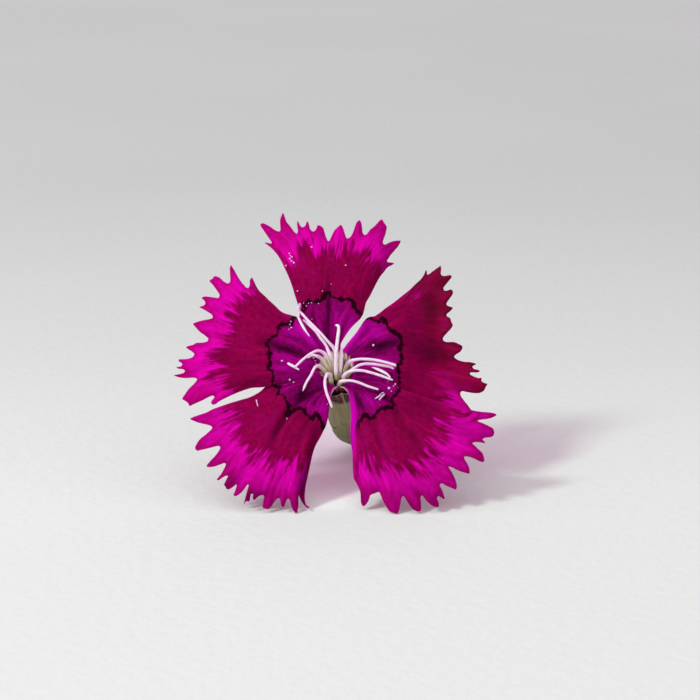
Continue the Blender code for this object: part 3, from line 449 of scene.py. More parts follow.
def make_petal(name, petal, material):
    spacing = 0.115 if FINE else 0.22
    columns = 40 if FINE else 20
    start = petal.get("inner", CLAW_INNER) + CLAW_BEND
    arc = start - 0.85
    claw = math.radians(petal["claw"])
    turn = np.array(((math.cos(claw), math.sin(claw)), (-math.sin(claw), math.cos(claw))))

    def own(drawn, relief=0.0):
        return on_blade(petal, drawn, relief) @ turn.T

    def signed(points, line):
        """Distance from a line that crosses the petal, less than 0 on the throat's side."""
        line = own(rounded(line, 1.2))
        far = 25.0 * np.sign(line[0, 1] - line[-1, 1])
        closing = ((line[-1, 0] - 2.0, line[-1, 1] - far), (-30.0, -far), (-30.0, far), (line[0, 0] - 2.0, line[0, 1] + far))
        found = distance_to(points, line)
        return np.where(inside(points, np.vstack((line, closing))), -found, found)

    def lie(points, side_a, side_b, outer):
        """How the sheet lies at points in its own plane: creases, pleats near the throat, side margins that curl back
        and a waved fringe. Returns what the pattern needs too, among it the painted shade along the creases."""
        out, fan = np.hypot(points[:, 0], points[:, 1]), np.arctan2(points[:, 1], points[:, 0])
        from_a, from_b, from_teeth = (distance_to(points, line) for line in (side_a, side_b, outer))
        ring, zone = signed(points, petal["ring"]), signed(points, petal["border"])
        # the veins run between the two side margins and follow them
        vane = 1.3 * (from_b / np.maximum(1e-6, from_a + from_b) - 0.5)
        begin = smooth((out - 2.6) / 1.3)
        relief, crease_shade = np.zeros(len(points)), np.zeros(len(points))
        for line, width, depth in petal["creases"]:
            line = own(rounded(line, 1.5))
            near = distance_to(points, line)
            fade = smooth(np.linalg.norm(points - line[-1], axis=1) / 2.2)
            relief -= depth * np.exp(-((near / width) ** 2)) * begin * fade
            relief += 0.45 * depth * np.exp(-(((near - 2.1 * width) / width) ** 2)) * begin * fade
            # painted shade: the colour is darkened along each crease, more for deeper creases
            crease_shade = np.maximum(crease_shade, depth / 0.2 * np.exp(-((near / (0.8 * width)) ** 2)) * fade)
        inner_zone = smooth((-ring + 0.3) / 0.9)
        relief += 0.085 * ripple(vane * 17.0, petal["seed"]) * begin * inner_zone
        relief += 0.060 * ripple(vane * 11.0, petal["seed"] + 2.0) * smooth((out - 5.0) / 3.0)
        fringe = smooth((zone + 0.4) / 2.2)
        relief += 0.075 * ripple(vane * 40.0, petal["seed"] + 5.0) * fringe
        relief += 0.16 * ripple(vane * 16.0, petal["seed"] + 8.0) * smooth((2.6 - from_teeth) / 2.6) * fringe
        relief -= 0.13 * smooth((0.7 - from_teeth) / 0.7) * fringe
        for near, (depth, width) in zip((from_a, from_b), petal["roll"]):
            relief -= depth * np.clip(1.0 - near / width, 0.0, 1.0) ** 2 * smooth((out - 2.4) / 1.4)
        crumple = np.array([noise.noise(Vector((a * 0.55, b * 0.55, petal["seed"]))) for a, b in points.tolist()])
        relief += 0.10 * crumple * smooth((out - 4.0) / 3.0)
        return out, fan, from_a, from_b, vane, ring, zone, crease_shade, relief

    # the blade's outline in its own plane, drawn where its curled margins are seen, closed by an arc inside the mouth
    parts = [np.asarray(petal[k], float) for k in ("side_a", "teeth", "side_b")]
    drawn_lines = (rounded(parts[0], 1.0), rounded(parts[2], 1.0), rounded(np.vstack((parts[0][-1:], parts[1], parts[2][:1])), 1.0))
    lines = [own(line) for line in drawn_lines]
    edge_drawn = rounded(np.vstack(parts), 0.75 if FINE else 1.3)
    edge = own(edge_drawn, lie(own(edge_drawn), *lines)[-1])
    side_a, side_b, outer = (own(line, lie(own(line), *lines)[-1]) for line in drawn_lines)
    low_turn, high_turn = (math.radians(a) for a in petal["span"])
    if edge[0, 1] < 0.0:
        low_turn, high_turn = high_turn, low_turn
    turns = np.linspace(low_turn, high_turn, columns + 1)
    mouth_arc = np.stack((arc * np.cos(turns), arc * np.sin(turns)), axis=1)
    loop = np.vstack((edge, mouth_arc))
    keep = np.linalg.norm(loop - np.roll(loop, 1, axis=0), axis=1) > 1e-3
    loop = loop[keep]

    low, high = loop.min(axis=0), loop.max(axis=0)
    grid = []
    for i, row in enumerate(np.arange(low[0] + 0.3 * spacing, high[0], spacing * 0.87)):
        places = np.arange(low[1] + (0.5 * spacing if i % 2 else 0.0), high[1], spacing)
        grid.append(np.stack((np.full(len(places), row), places), axis=1))
    grid = np.vstack(grid)
    grid = grid[inside(grid, loop)]
    grid = grid[distance_to(grid, loop, closed=True) > 0.5 * spacing]
    points = np.vstack((loop, grid))
    count = len(loop)
    flat, _, faces, _, _, _ = delaunay_2d_cdt(
        [Vector(p) for p in points.tolist()], [(i, (i + 1) % count) for i in range(count)], [], 1, 1e-7
    )
    flat = np.array([tuple(p) for p in flat])
    faces = np.array([f for f in faces if len(f) == 3])
    used = np.unique(faces)
    index = np.full(len(flat), -1)
    index[used] = np.arange(len(used))
    flat, faces = flat[used], index[faces]
    cross = np.cross(flat[faces[:, 1]] - flat[faces[:, 0]], flat[faces[:, 2]] - flat[faces[:, 0]])
    faces[cross < 0] = faces[cross < 0][:, ::-1]
    blade_count = len(flat)
    ahead, aside = flat[:, 0], flat[:, 1]
    margin = distance_to(flat, edge)
    out, fan, from_a, from_b, vane, ring, zone, crease_shade, relief = lie(flat, side_a, side_b, outer)

    # painted light and shade: patches painted lighter or darker, some of them the petal's own uneven colour
    # painted shade: a lower petal's fringe is painted a little darker by its given amount
    colour_and_light_patch, backlit_shade = -petal.get("fringe_shade", 0.0) * smooth((zone + 0.4) / 1.2), np.zeros(len(flat))
    for x, y, rx, ry, degrees, amount in petal["patches"]:
        middle, a = own([(x, y)])[0], math.radians(degrees)
        one = own([(x + rx * math.cos(a), y + rx * math.sin(a))])[0] - middle
        two = own([(x - ry * math.sin(a), y + ry * math.cos(a))])[0] - middle
        local = (flat - middle) @ np.linalg.inv(np.stack((one, two), axis=1)).T
        colour_and_light_patch += amount * np.exp(-(local**2).sum(axis=1))
    # painted shade and light through the sheet: ellipses where a fringe bent away from the lamp is painted crimson-red
    for x, y, rx, ry in petal["backlit_shade"]:
        middle = own([(x, y)])[0]
        one, two = own([(x + rx, y)])[0] - middle, own([(x, y + ry)])[0] - middle
        local = (flat - middle) @ np.linalg.inv(np.stack((one, two), axis=1)).T
        backlit_shade = np.maximum(backlit_shade, np.exp(-((local**2).sum(axis=1) ** 1.5)))
    centre = np.array(seen_at(DRAWN_MOUTH[0], DRAWN_MOUTH[1], 0.0)) @ turn.T
    mouth = np.linalg.norm(flat - centre, axis=1)

    # the claw, in rows from the arc down the tube
    rows = np.concatenate((np.linspace(0.0, 1.6, 16)[1:], np.linspace(1.6, CLAW_LENGTH - 0.85, 34)[1:]))
    turns = np.sort(turns)
    join = [int(np.argmin(np.hypot(ahead - arc * math.cos(t), aside - arc * math.sin(t)))) for t in turns]
    middle = 0.5 * (turns[0] + turns[-1])
    strip_out, strip_fan, strip_ridge, strip_faces, previous = [], [], [], [], join
    for row in rows:
        narrow = np.interp(row + 0.85, (0.85, 2.0, 3.6, 4.6, CLAW_LENGTH), (1.0, 0.97, 0.74, 0.64, 0.45))
        this = [blade_count + len(strip_out) + k for k in range(columns + 1)]
        strip_out += [arc - row] * (columns + 1)
        strip_fan += (middle + (turns - middle) * narrow).tolist()
        stands = 0.34 * smooth((row - 0.35) / 0.9) * narrow
        strip_ridge += (stands * np.exp(-(((np.abs(turns - middle) - 0.27) / 0.12) ** 2))).tolist()
        for k in range(columns):
            strip_faces.append((previous[k], previous[k + 1], this[k + 1]))
            strip_faces.append((previous[k], this[k + 1], this[k]))
        previous = this
    strip_out, strip_fan = np.array(strip_out), np.array(strip_fan)
    strip = len(strip_out)
    half = np.tile(np.minimum(turns - turns[0], turns[-1] - turns), len(rows)) * 1.5
    foot = strip_out - (arc - rows[-1])

    def whole(values, rest):
        return np.concatenate((values, np.broadcast_to(np.asarray(rest, float), strip)))

    vane = whole(vane, np.tile(vane[join], len(rows)))
    out, fan, relief = whole(out, strip_out), whole(fan, strip_fan), whole(relief, 0.0)
    margin = whole(margin, np.minimum(half, foot))
    ring, zone = whole(ring, -3.0), whole(zone, -8.0)
    crease_shade, colour_and_light_patch, backlit_shade = whole(crease_shade, 0.0), whole(colour_and_light_patch, 0.0), whole(backlit_shade, 0.0)
    angle = strip_fan
    lip = np.stack((CLAW_INNER * np.cos(angle), CLAW_INNER * np.sin(angle)), axis=1) - centre
    mouth = whole(mouth, np.linalg.norm(lip, axis=1))
    faces = np.vstack((faces, strip_faces))

    top = on_surface(petal, out, fan, relief, whole(np.zeros(blade_count), strip_ridge))
    normals = vertex_normals(top, faces)
    rounding = np.clip(margin / 0.28, 0.0, 1.0)
    thick = 0.045 + (PETAL_THICKNESS - 0.045) * np.sqrt(np.maximum(0.0, 1.0 - (1.0 - rounding) ** 2))
    bottom = top - normals * thick[:, None]
    count = len(top)
    ends = np.concatenate([faces[:, [0, 1]], faces[:, [1, 2]], faces[:, [2, 0]]])
    _, where, times = np.unique(np.sort(ends, axis=1), axis=0, return_inverse=True, return_counts=True)
    rim = ends[times[where.reshape(-1)] == 1]
    everything = (
        faces.tolist()
        + (faces[:, ::-1] + count).tolist()
        + [(b, a, a + count, b + count) for a, b in rim.tolist()]
    )
    solid = np.vstack((top, bottom))
    solid[:, 2] = np.maximum(solid[:, 2], 0.004)

    def both(values):
        return np.concatenate((values, values))

    bare = petal.get("bare", (0.0, 0.0, 1.0))
    ink = 1.0 - np.exp(-((np.linalg.norm(flat - own([bare[:2]])[0], axis=1) / (bare[2] / 9.4)) ** 4))
    ink = whole(ink, 0.0)
    # thin pale edges at the mouth's foot
    arch = {"petal_lower_left": from_b, "petal_lower_right": from_a}.get(name)
    rim_pale = np.zeros(len(out)) if arch is None else np.exp(-((whole(arch, 9.0) / 0.12) ** 2) - ((mouth - 2.55) / 0.75) ** 2)
    attributes = {
        "fan": np.stack((both(vane), both(out), np.full(2 * count, petal["seed"] * 3.0)), axis=1),
        "zones": np.stack((both(ring), both(zone), both(margin)), axis=1),
        "light_and_shade_tint": np.stack((both(crease_shade), both(colour_and_light_patch), both(backlit_shade)), axis=1),
        "throat": both(mouth),
        "rim": both(rim_pale),
        "ink": both(ink),
        "back": np.concatenate((np.zeros(count), np.ones(count))),
    }
    return mesh_piece(name + "_look", solid, everything, material, attributes, (name,))


# ================================================================= node helpers
def tone(r, g, b, scale=1.0):
    """A linear colour from 0-255 display values."""
    found = []
    for c in (r, g, b):
        c = c / 255.0
        found.append((c / 12.92 if c <= 0.04045 else ((c + 0.055) / 1.055) ** 2.4) * scale)
    return (*found, 1.0)


class Nodes:
    def __init__(self, name, roughness=0.6, specular=0.1):
        self.material = bpy.data.materials.new(name)
        self.material.use_nodes = True
        self.tree = self.material.node_tree
        self.shader = self.tree.nodes["Principled BSDF"]
        self.shader.inputs["Specular IOR Level"].default_value = specular
        self.shader.inputs["Roughness"].default_value = roughness
        self.shader.inputs["Metallic"].default_value = 0.0

    def put(self, socket, value):
        if hasattr(value, "is_linked"):
            self.tree.links.new(value, socket)
        else:
            socket.default_value = value

    def math(self, operation, a, b=0.0, c=0.0, clamp=False):
        node = self.tree.nodes.new("ShaderNodeMath")
        node.operation = operation
        node.use_clamp = clamp
        for socket, value in zip(node.inputs, (a, b, c)):
            self.put(socket, value)
        return node.outputs[0]

    def mix(self, factor, a, b, blend="MIX"):
        node = self.tree.nodes.new("ShaderNodeMix")
        node.data_type = "RGBA"
        node.blend_type = blend
        self.put(node.inputs[0], factor)
        self.put(node.inputs[6], a)
        self.put(node.inputs[7], b)
        return node.outputs[2]

    def step(self, value, low, high, to_low=0.0, to_high=1.0):
        """Smoothly from to_low at low to to_high at high."""
        node = self.tree.nodes.new("ShaderNodeMapRange")
        node.interpolation_type = "SMOOTHSTEP"
        for socket, given in zip(node.inputs, (value, low, high, to_low, to_high)):
            self.put(socket, given)
        return node.outputs[0]

    def attribute(self, name):
        node = self.tree.nodes.new("ShaderNodeAttribute")
        node.attribute_name = name
        return node

    def parts(self, vector):
        node = self.tree.nodes.new("ShaderNodeSeparateXYZ")
        self.put(node.inputs[0], vector)
        return node.outputs[0], node.outputs[1], node.outputs[2]

    def vector(self, x, y, z):
        node = self.tree.nodes.new("ShaderNodeCombineXYZ")
        for socket, value in zip(node.inputs, (x, y, z)):
            self.put(socket, value)
        return node.outputs[0]

    def scaled(self, vector, x, y, z):
        node = self.tree.nodes.new("ShaderNodeVectorMath")
        node.operation = "MULTIPLY"
        self.put(node.inputs[0], vector)
        node.inputs[1].default_value = (x, y, z)
        return node.outputs[0]

    def noise(self, vector, scale=1.0, detail=2.0, roughness=0.5):
        node = self.tree.nodes.new("ShaderNodeTexNoise")
        self.put(node.inputs["Vector"], vector)
        node.inputs["Scale"].default_value = scale
        node.inputs["Detail"].default_value = detail
        node.inputs["Roughness"].default_value = roughness
        return node.outputs[0]

    def place(self):
        return self.tree.nodes.new("ShaderNodeTexCoord").outputs["Object"]

    def bump(self, height, strength, distance):
        node = self.tree.nodes.new("ShaderNodeBump")
        node.inputs["Strength"].default_value = strength
        node.inputs["Distance"].default_value = distance
        self.put(node.inputs["Height"], height)
        self.put(self.shader.inputs["Normal"], node.outputs[0])

    def colour(self, value):
        self.put(self.shader.inputs["Base Color"], value)
        return self.material


def petal_material():
    n = Nodes("petal_tissue", 0.62, 0.012)
    fan_vector = n.attribute("fan").outputs["Vector"]
    angle, out, seed = n.parts(fan_vector)
    ring, zone, margin = n.parts(n.attribute("zones").outputs["Vector"])
    crease_shade, colour_and_light_patch, backlit_shade = n.parts(n.attribute("light_and_shade_tint").outputs["Vector"])
    throat = n.attribute("throat").outputs["Fac"]
    back = n.attribute("back").outputs["Fac"]
    here = n.place()

    def swing(value, reach):
        """A noise turned into a shift of about -reach to reach."""
        spread = n.math("MULTIPLY", n.math("SUBTRACT", value, 0.5), 3.6)
        return n.math("MULTIPLY", n.math("MAXIMUM", n.math("MINIMUM", spread, 1.0), -1.0), reach)

    broad = n.noise(n.scaled(fan_vector, 6.0, 0.40, 1.0), 1.0, 2.0, 0.5)
    streak = n.noise(n.scaled(fan_vector, 14.0, 0.28, 1.0), 1.0, 2.0, 0.55)
    flame = n.noise(n.scaled(fan_vector, 30.0, 0.40, 1.0), 1.0, 2.0, 0.6)
    vein = n.noise(n.scaled(fan_vector, 72.0, 0.62, 1.0), 1.0, 2.0, 0.6)
    mottle = n.noise(here, 2300.0, 4.0, 0.66)
    grain = n.noise(here, 9500.0, 2.0, 0.6)

    # the bright fringe: flames of it reach in, and dark crimson streaks run out into it
    shift = n.math("ADD", zone, swing(streak, 0.45))
    shift = n.math("ADD", shift, swing(flame, 0.80))
    shift = n.math("ADD", shift, swing(vein, 0.34))
    shift = n.math("ADD", shift, swing(mottle, 0.22))
    fringe = n.step(shift, -0.42, 0.52)
    crimson = n.mix(n.step(mottle, 0.34, 0.66), tone(128, 1, 56), tone(152, 1, 82))
    crimson = n.mix(n.step(broad, 0.35, 0.7, 0.0, 0.45), crimson, tone(128, 1, 72))
    crimson = n.mix(n.step(flame, 0.53, 0.70, 0.0, 0.42), crimson, tone(102, 1, 48))
    crimson = n.mix(n.step(streak, 0.46, 0.32, 0.0, 0.45), crimson, tone(164, 1, 84))
    crimson = n.mix(n.step(vein, 0.58, 0.72, 0.0, 0.22), crimson, tone(100, 1, 46))
    streaks = n.math("MULTIPLY", n.step(zone, -1.1, 0.3), n.step(flame, 0.54, 0.40))
    crimson = n.mix(n.math("MULTIPLY", streaks, 0.7), crimson, tone(106, 1, 52))
    magenta = n.mix(n.step(streak, 0.34, 0.64), tone(190, 1, 136), tone(218, 1, 174))
    magenta = n.mix(n.step(flame, 0.60, 0.34, 0.0, 0.62), magenta, tone(158, 1, 98))
    thread = n.math("MULTIPLY", n.step(vein, 0.47, 0.33), n.step(zone, 2.8, 0.2))
    magenta = n.mix(n.math("MULTIPLY", thread, 0.55), magenta, tone(132, 1, 76))
    glow = n.math("MULTIPLY", n.step(shift, 0.1, 0.7), n.step(zone, 2.4, 0.5))
    magenta = n.mix(n.math("MULTIPLY", glow, 0.45), magenta, tone(232, 1, 188))
    magenta = n.mix(n.step(mottle, 0.48, 0.72, 0.0, 0.40), magenta, tone(162, 1, 106))
    magenta = n.mix(n.step(zone, 1.4, 4.6, 0.0, 0.5), magenta, tone(160, 1, 98))
    magenta = n.mix(n.step(margin, 0.60, 0.08, 0.0, 0.5), magenta, tone(158, 1, 96))
    outer = n.mix(fringe, crimson, magenta)
    # painted shade and light through the sheet: where a fringe bends away from the lamp it is painted deep crimson-red,
    # darkest at its edge
    flush = n.mix(n.step(streak, 0.36, 0.64), tone(118, 1, 42), tone(148, 1, 62))
    flush = n.mix(n.step(mottle, 0.45, 0.70, 0.0, 0.35), flush, tone(104, 1, 40))
    outer = n.mix(n.math("MULTIPLY", backlit_shade, n.step(zone, -1.5, -0.3)), outer, flush)
    outer = n.mix(n.math("MULTIPLY", backlit_shade, n.step(margin, 0.36, 0.06, 0.0, 0.7)), outer, tone(74, 1, 28))
    outer = n.mix(n.step(margin, 0.16, 0.03, 0.0, 0.42), outer, tone(118, 1, 60))

    # the violet inner zone, mottled and pleated
    violet = n.mix(n.step(mottle, 0.36, 0.66), tone(108, 1, 74), tone(150, 1, 110))
    violet = n.mix(n.step(streak, 0.46, 0.66, 0.0, 0.65), violet, tone(184, 1, 148))
    violet = n.mix(n.step(flame, 0.54, 0.70, 0.0, 0.50), violet, tone(96, 1, 64))
    violet = n.mix(n.step(vein, 0.54, 0.70, 0.0, 0.25), violet, tone(94, 1, 62))
    violet = n.mix(n.math("MULTIPLY", n.step(grain, 0.55, 0.72), 0.3), violet, tone(196, 1, 176))
    jagged = n.math("ADD", n.math("ADD", ring, swing(vein, 0.10)), swing(mottle, 0.20))
    inner = n.step(jagged, 0.05, -0.05)
    violet = n.mix(n.step(ring, -1.1, -0.1, 0.0, 0.30), violet, tone(150, 1, 92))
    surface = n.mix(inner, outer, violet)
    # painted shade along the creases, and patches of painted light and shade, some of them the petal's own uneven
    # colour
    surface = n.mix(n.math("MULTIPLY", crease_shade, 0.72, clamp=True), surface, tone(74, 1, 42))
    painted_shade_colour = n.mix(1.0, surface, tone(112, 70, 112), "MULTIPLY")
    painted_light_colour = n.mix(0.85, surface, n.mix(inner, n.mix(backlit_shade, tone(206, 1, 150), tone(196, 1, 104)), tone(202, 1, 178)))
    surface = n.mix(n.math("MULTIPLY", colour_and_light_patch, -1.0, clamp=True), surface, painted_shade_colour)
    surface = n.mix(n.math("MULTIPLY", colour_and_light_patch, 1.0, clamp=True), surface, painted_light_colour)
    # the dark ring, with short veins running out of it
    width = n.step(streak, 0.34, 0.66, 0.10, 0.34)
    band = n.math("ABSOLUTE", n.math("ADD", jagged, -0.09))
    inked = n.math("SUBTRACT", 1.0, n.step(n.math("DIVIDE", band, width), 0.6, 1.3))
    veins = n.math("MULTIPLY", n.step(flame, 0.46, 0.34), n.step(ring, 1.9, 0.1))
    veins = n.math("MULTIPLY", veins, n.step(ring, -0.05, 0.1))
    surface = n.mix(n.math("MULTIPLY", veins, 0.55), surface, tone(72, 1, 32))
    inked = n.math("MULTIPLY", inked, n.attribute("ink").outputs["Fac"])
    surface = n.mix(n.math("MULTIPLY", inked, 0.97), surface, tone(26, 1, 12))
    surface = n.mix(n.step(grain, 0.30, 0.72, 0.14, 0.0), surface, tone(50, 1, 30))
    # thin pale edges beside the calyx, and the throat, cream streaked with green
    surface = n.mix(n.math("MULTIPLY", n.attribute("rim").outputs["Fac"], 0.85), surface, tone(236, 190, 214))
    cream = n.mix(n.step(flame, 0.42, 0.58), tone(228, 222, 190), tone(148, 154, 72))
    cream = n.mix(n.step(mottle, 0.50, 0.62, 0.0, 0.6), cream, tone(238, 206, 222))
    surface = n.mix(n.step(n.math("ADD", throat, swing(flame, 0.26)), 1.86, 1.52), surface, cream)
    # the back is paler, with darker veins, and the claws' backs are dark at the mouth
    reverse = n.mix(n.step(vein, 0.40, 0.66), tone(168, 84, 134), tone(202, 128, 174))
    reverse = n.mix(n.step(streak, 0.5, 0.7, 0.0, 0.4), reverse, tone(150, 56, 112))
    reverse = n.mix(n.math("MULTIPLY", fringe, 0.5), reverse, tone(190, 60, 144))
    reverse = n.mix(n.step(margin, 0.35, 0.04, 0.0, 0.6), reverse, tone(206, 150, 190))
    reverse = n.mix(n.step(out, 6.5, 3.0), reverse, tone(140, 96, 100))
    claw_back = n.mix(n.step(mottle, 0.42, 0.58), tone(128, 18, 78), tone(150, 98, 94))
    claw_back = n.mix(n.step(out, -0.4, -3.0), claw_back, tone(190, 194, 146))
    reverse = n.mix(n.step(out, 3.2, 2.3), reverse, claw_back)
    surface = n.mix(n.step(back, 0.25, 0.75), surface, reverse)

    height = n.math("MULTIPLY_ADD", vein, 0.9, n.math("MULTIPLY", flame, 0.8))
    height = n.math("MULTIPLY_ADD", grain, 0.20, height)
    n.bump(height, 0.5, 0.00008)
    n.shader.inputs["Subsurface Weight"].default_value = 0.75
    n.shader.inputs["Subsurface Scale"].default_value = 0.0006
    n.shader.inputs["Subsurface Radius"].default_value = (1.0, 0.1, 0.8)
    return n.colour(surface)


# ======================================================= strands and their tips
def drawn_path(points):
    points = np.asarray(points, float)
    u, v = seen_at(points[:, 0], points[:, 1], points[:, 2])
    return place(u, v, points[:, 2])


def sweep(path, radii, sides=12, flat=1.0, wobble=0.0, seed=0.0):
    """A closed strand along the path with rounded ends: (points, faces, distance along, turn)."""
    path = np.asarray(path, float)
    radii = np.asarray(radii, float)
    ahead = np.gradient(path, axis=0)
    ahead /= np.maximum(1e-9, np.linalg.norm(ahead, axis=1))[:, None]
    lengths = np.concatenate(([0.0], np.cumsum(np.linalg.norm(np.diff(path, axis=0), axis=1))))
    # domed ends
    caps = np.radians((80.0, 55.0, 28.0))
    first = [path[0] - ahead[0] * radii[0] * math.sin(c) for c in caps]
    last = [path[-1] + ahead[-1] * radii[-1] * math.sin(c) for c in caps[::-1]]
    path = np.vstack((first, path, last))
    radii = np.concatenate((radii[0] * np.cos(caps), radii, radii[-1] * np.cos(caps[::-1])))
    lengths = np.concatenate(([0.0] * 3, lengths, [lengths[-1]] * 3))
    ahead = np.vstack((ahead[:1], ahead[:1], ahead[:1], ahead, ahead[-1:], ahead[-1:], ahead[-1:]))
    normal = np.cross(ahead[0], (0.3, 0.5, 0.8))
    points, along, turns = [], [], []
    for i, spot in enumerate(path):
        normal = normal - ahead[i] * normal.dot(ahead[i])
        normal /= np.linalg.norm(normal)
        side = np.cross(ahead[i], normal)
        for k in range(sides):
            a = 2 * math.pi * k / sides
            r = radii[i]
            if wobble:
                r *= 1.0 + wobble * noise.noise(Vector((lengths[i] * 2.2 + seed, math.cos(a) * 1.3, math.sin(a) * 1.3)))
            points.append(spot + (normal * math.cos(a) + side * math.sin(a) * flat) * r)
            along.append(lengths[i])
            turns.append(a)
    faces = []
    for i in range(len(path) - 1):
        for k in range(sides):
            a, b = i * sides + k, i * sides + (k + 1) % sides
            faces.append((a, b, b + sides, a + sides))
    faces.append(tuple(reversed(range(sides))))
    faces.append(tuple(range((len(path) - 1) * sides, len(path) * sides)))
    return np.array(points), faces, np.array(along), np.array(turns)


def stacked(meshes):
    """Several (points, faces, along, turn) as one."""
    points, faces, along, turns, base = [], [], [], [], 0
    for p, f, a, t in meshes:
        points.append(p)
        faces += [tuple(i + base for i in face) for face in f]
        along.append(a)
        turns.append(t)
        base += len(p)
    return np.vstack(points), faces, np.concatenate(along), np.concatenate(turns)


FILAMENT_RING, FILAMENT_FOOT = 1.18, 12.6
OVARY_TOP, OVARY_FOOT, OVARY_RADIUS = 6.2, 13.4, 0.88
STAMENS = {
    "stamen_1": {"foot": 85, "path": ((334.9, 350, 1.2), (327.2, 340.7, 1.8), (319.8, 332.3, 2.2), (310.4, 323, 2.4),
                                      (301.1, 312.9, 2.4), (298.9, 310.6, 2.42))},
    "stamen_2": {"foot": 108, "path": ((330, 354.7, 0.9), (325.4, 344.4, 1.2), (319.8, 337, 1.4), (315.1, 330.6, 1.5),
                                       (309, 324.8, 1.45), (303.9, 320.2, 1.4))},
    "stamen_3": {"foot": 131, "path": ((325.8, 354.9, 0.9), (321, 351.3, 1.4), (317.4, 350.7, 1.7), (310.4, 353.8, 1.8),
                                       (303, 359.4, 1.6), (297, 365, 1.3), (294.6, 367, 1.2))},
    "stamen_4": {"foot": 154, "path": ((321.6, 358.6, 0.7), (316, 355.8, 0.95), (312.3, 355.1, 1.0), (308, 357.4, 0.95))},
    "stamen_5": {"foot": 180, "path": ((320.7, 366.8, 0.7), (317.9, 365.9, 1.0), (315.1, 367.3, 1.15), (310.9, 375.2, 1.2),
                                       (306.3, 382.7, 1.1), (303, 390.6, 1.0)), "tip": 0.06},
    "stamen_6": {"foot": 222, "path": ((330, 374.6, 0.8), (327.2, 374.3, 1.3), (325.4, 378, 1.5), (324.9, 383.6, 1.6),
                                       (326.3, 392, 1.6), (329.1, 399.5, 1.5), (331.9, 406.9, 1.4)), "tip": 0.10},
    "stamen_7": {"foot": 280, "path": ((340.6, 381.8, 0.6), (345, 380.8, 1.1), (351.5, 380.8, 1.3), (359, 382.7, 1.3),
                                       (368.3, 386.4, 1.2), (377.6, 389.2, 1.1))},
    "stamen_8": {"foot": 318, "path": ((344, 376.2, 0.7), (347.8, 372.4, 1.2), (354.3, 370.6, 1.5), (361.8, 370.6, 1.6),
                                       (370.1, 372.4, 1.5), (382.3, 376.2, 1.35), (392.1, 379.9, 1.2)), "tip": 0.09},
    "stamen_9": {"foot": 5, "path": ((351, 371, 0.5), (354.3, 368.7, 0.9), (359, 365.4, 1.3), (364.6, 364, 1.45),
                                     (372.9, 364, 1.4), (382.3, 365.4, 1.25), (389.7, 366.8, 1.05), (392.9, 368.3, 0.97))},
    "stamen_10": {"foot": 40, "path": ((347.6, 363.6, 0.8), (351.5, 360.8, 1.3), (359, 359.2, 1.7), (368.3, 359.2, 1.8),
                                       (375.7, 360.1, 1.8), (386.9, 362.6, 1.65), (394.8, 365.2, 1.55)), "tip": 0.17},
}
STYLES = (
    ((336.4, 375.5, 0.2), (335.8, 360.3, 1.8), (336.6, 347.2, 2.8), (338, 336, 3.4), (338.7, 329.5, 3.7),
     (338.2, 325.9, 3.8), (336.4, 325.2, 3.7)),
    ((340.4, 373.5, 0.2), (340.9, 362, 1.4), (341.3, 353, 2.0), (341.6, 349.0, 2.2)),
)


def make_stamen(name, stamen, material, seed):
    turn = math.radians(stamen["foot"])
    depth = np.array((FILAMENT_FOOT, 7.0, 3.2, 1.6, 0.6))
    ring = np.array((FILAMENT_RING, FILAMENT_RING, 1.02, 0.94, 0.94))
    low = np.array((0.0, 0.0, -0.12, -0.26, -0.32))
    column = place(ring * math.cos(turn), ring * math.sin(turn) + low, -depth)
    path = rounded(np.vstack((column, drawn_path(stamen["path"]))), 0.10 if FINE else 0.3)
    steps = np.linalg.norm(np.diff(path, axis=0), axis=1)
    reach = np.concatenate(([0.0], np.cumsum(steps)))
    first = drawn_path(stamen["path"][:1])[0]
    mouth = reach[int(np.argmin(np.linalg.norm(path - first, axis=1)))]
    end = reach[-1] - mouth
    radii = np.interp(
        reach - mouth, (-9.0, -4.0, -1.2, 0.0, 1.1, 0.9 * end, end),
        (0.14, 0.16, 0.26, 0.22, 0.155, 0.14, stamen.get("tip", 0.11)),
    )
    points, faces, along, turns = sweep(path, radii, 14, 0.88, 0.10, seed)
    return mesh_piece(
        name + "_look", points, faces, material,
        {"strand": np.stack((along, turns, np.full(len(along), seed)), axis=1), "high": over_mouth(points)},
        (name,),
    )


def over_mouth(points):
    """How high points stand over the plane of the mouth."""
    return (points - THROAT) @ FACE


def filament_material(name, pale, blush, foot):
    n = Nodes(name, 0.42, 0.35)
    strand = n.attribute("strand").outputs["Vector"]
    high = n.attribute("high").outputs["Fac"]
    here = n.place()
    cloud = n.noise(n.scaled(strand, 1.6, 0.6, 1.0), 1.0, 2.0)
    fine = n.noise(n.scaled(strand, 3.0, 5.0, 1.0), 1.0, 2.0)
    speck = n.noise(here, 6500.0, 2.0, 0.6)
    colour = n.mix(n.step(cloud, 0.35, 0.65), pale, blush)
    low = n.mix(n.step(speck, 0.44, 0.60), foot, tone(232, 196, 216))
    low = n.mix(n.step(cloud, 0.60, 0.40, 0.0, 0.55), low, tone(176, 178, 104))
    colour = n.mix(n.step(n.math("ADD", high, n.math("MULTIPLY", cloud, 0.5)), 1.35, 0.55), colour, low)
    colour = n.mix(n.step(fine, 0.55, 0.75, 0.0, 0.18), colour, tone(206, 146, 192))
    n.bump(fine, 0.35, 0.00002)
    n.shader.inputs["Subsurface Weight"].default_value = 0.45
    n.shader.inputs["Subsurface Scale"].default_value = 0.0004
    n.shader.inputs["Subsurface Radius"].default_value = (1.0, 0.8, 0.9)
    return n.colour(colour)


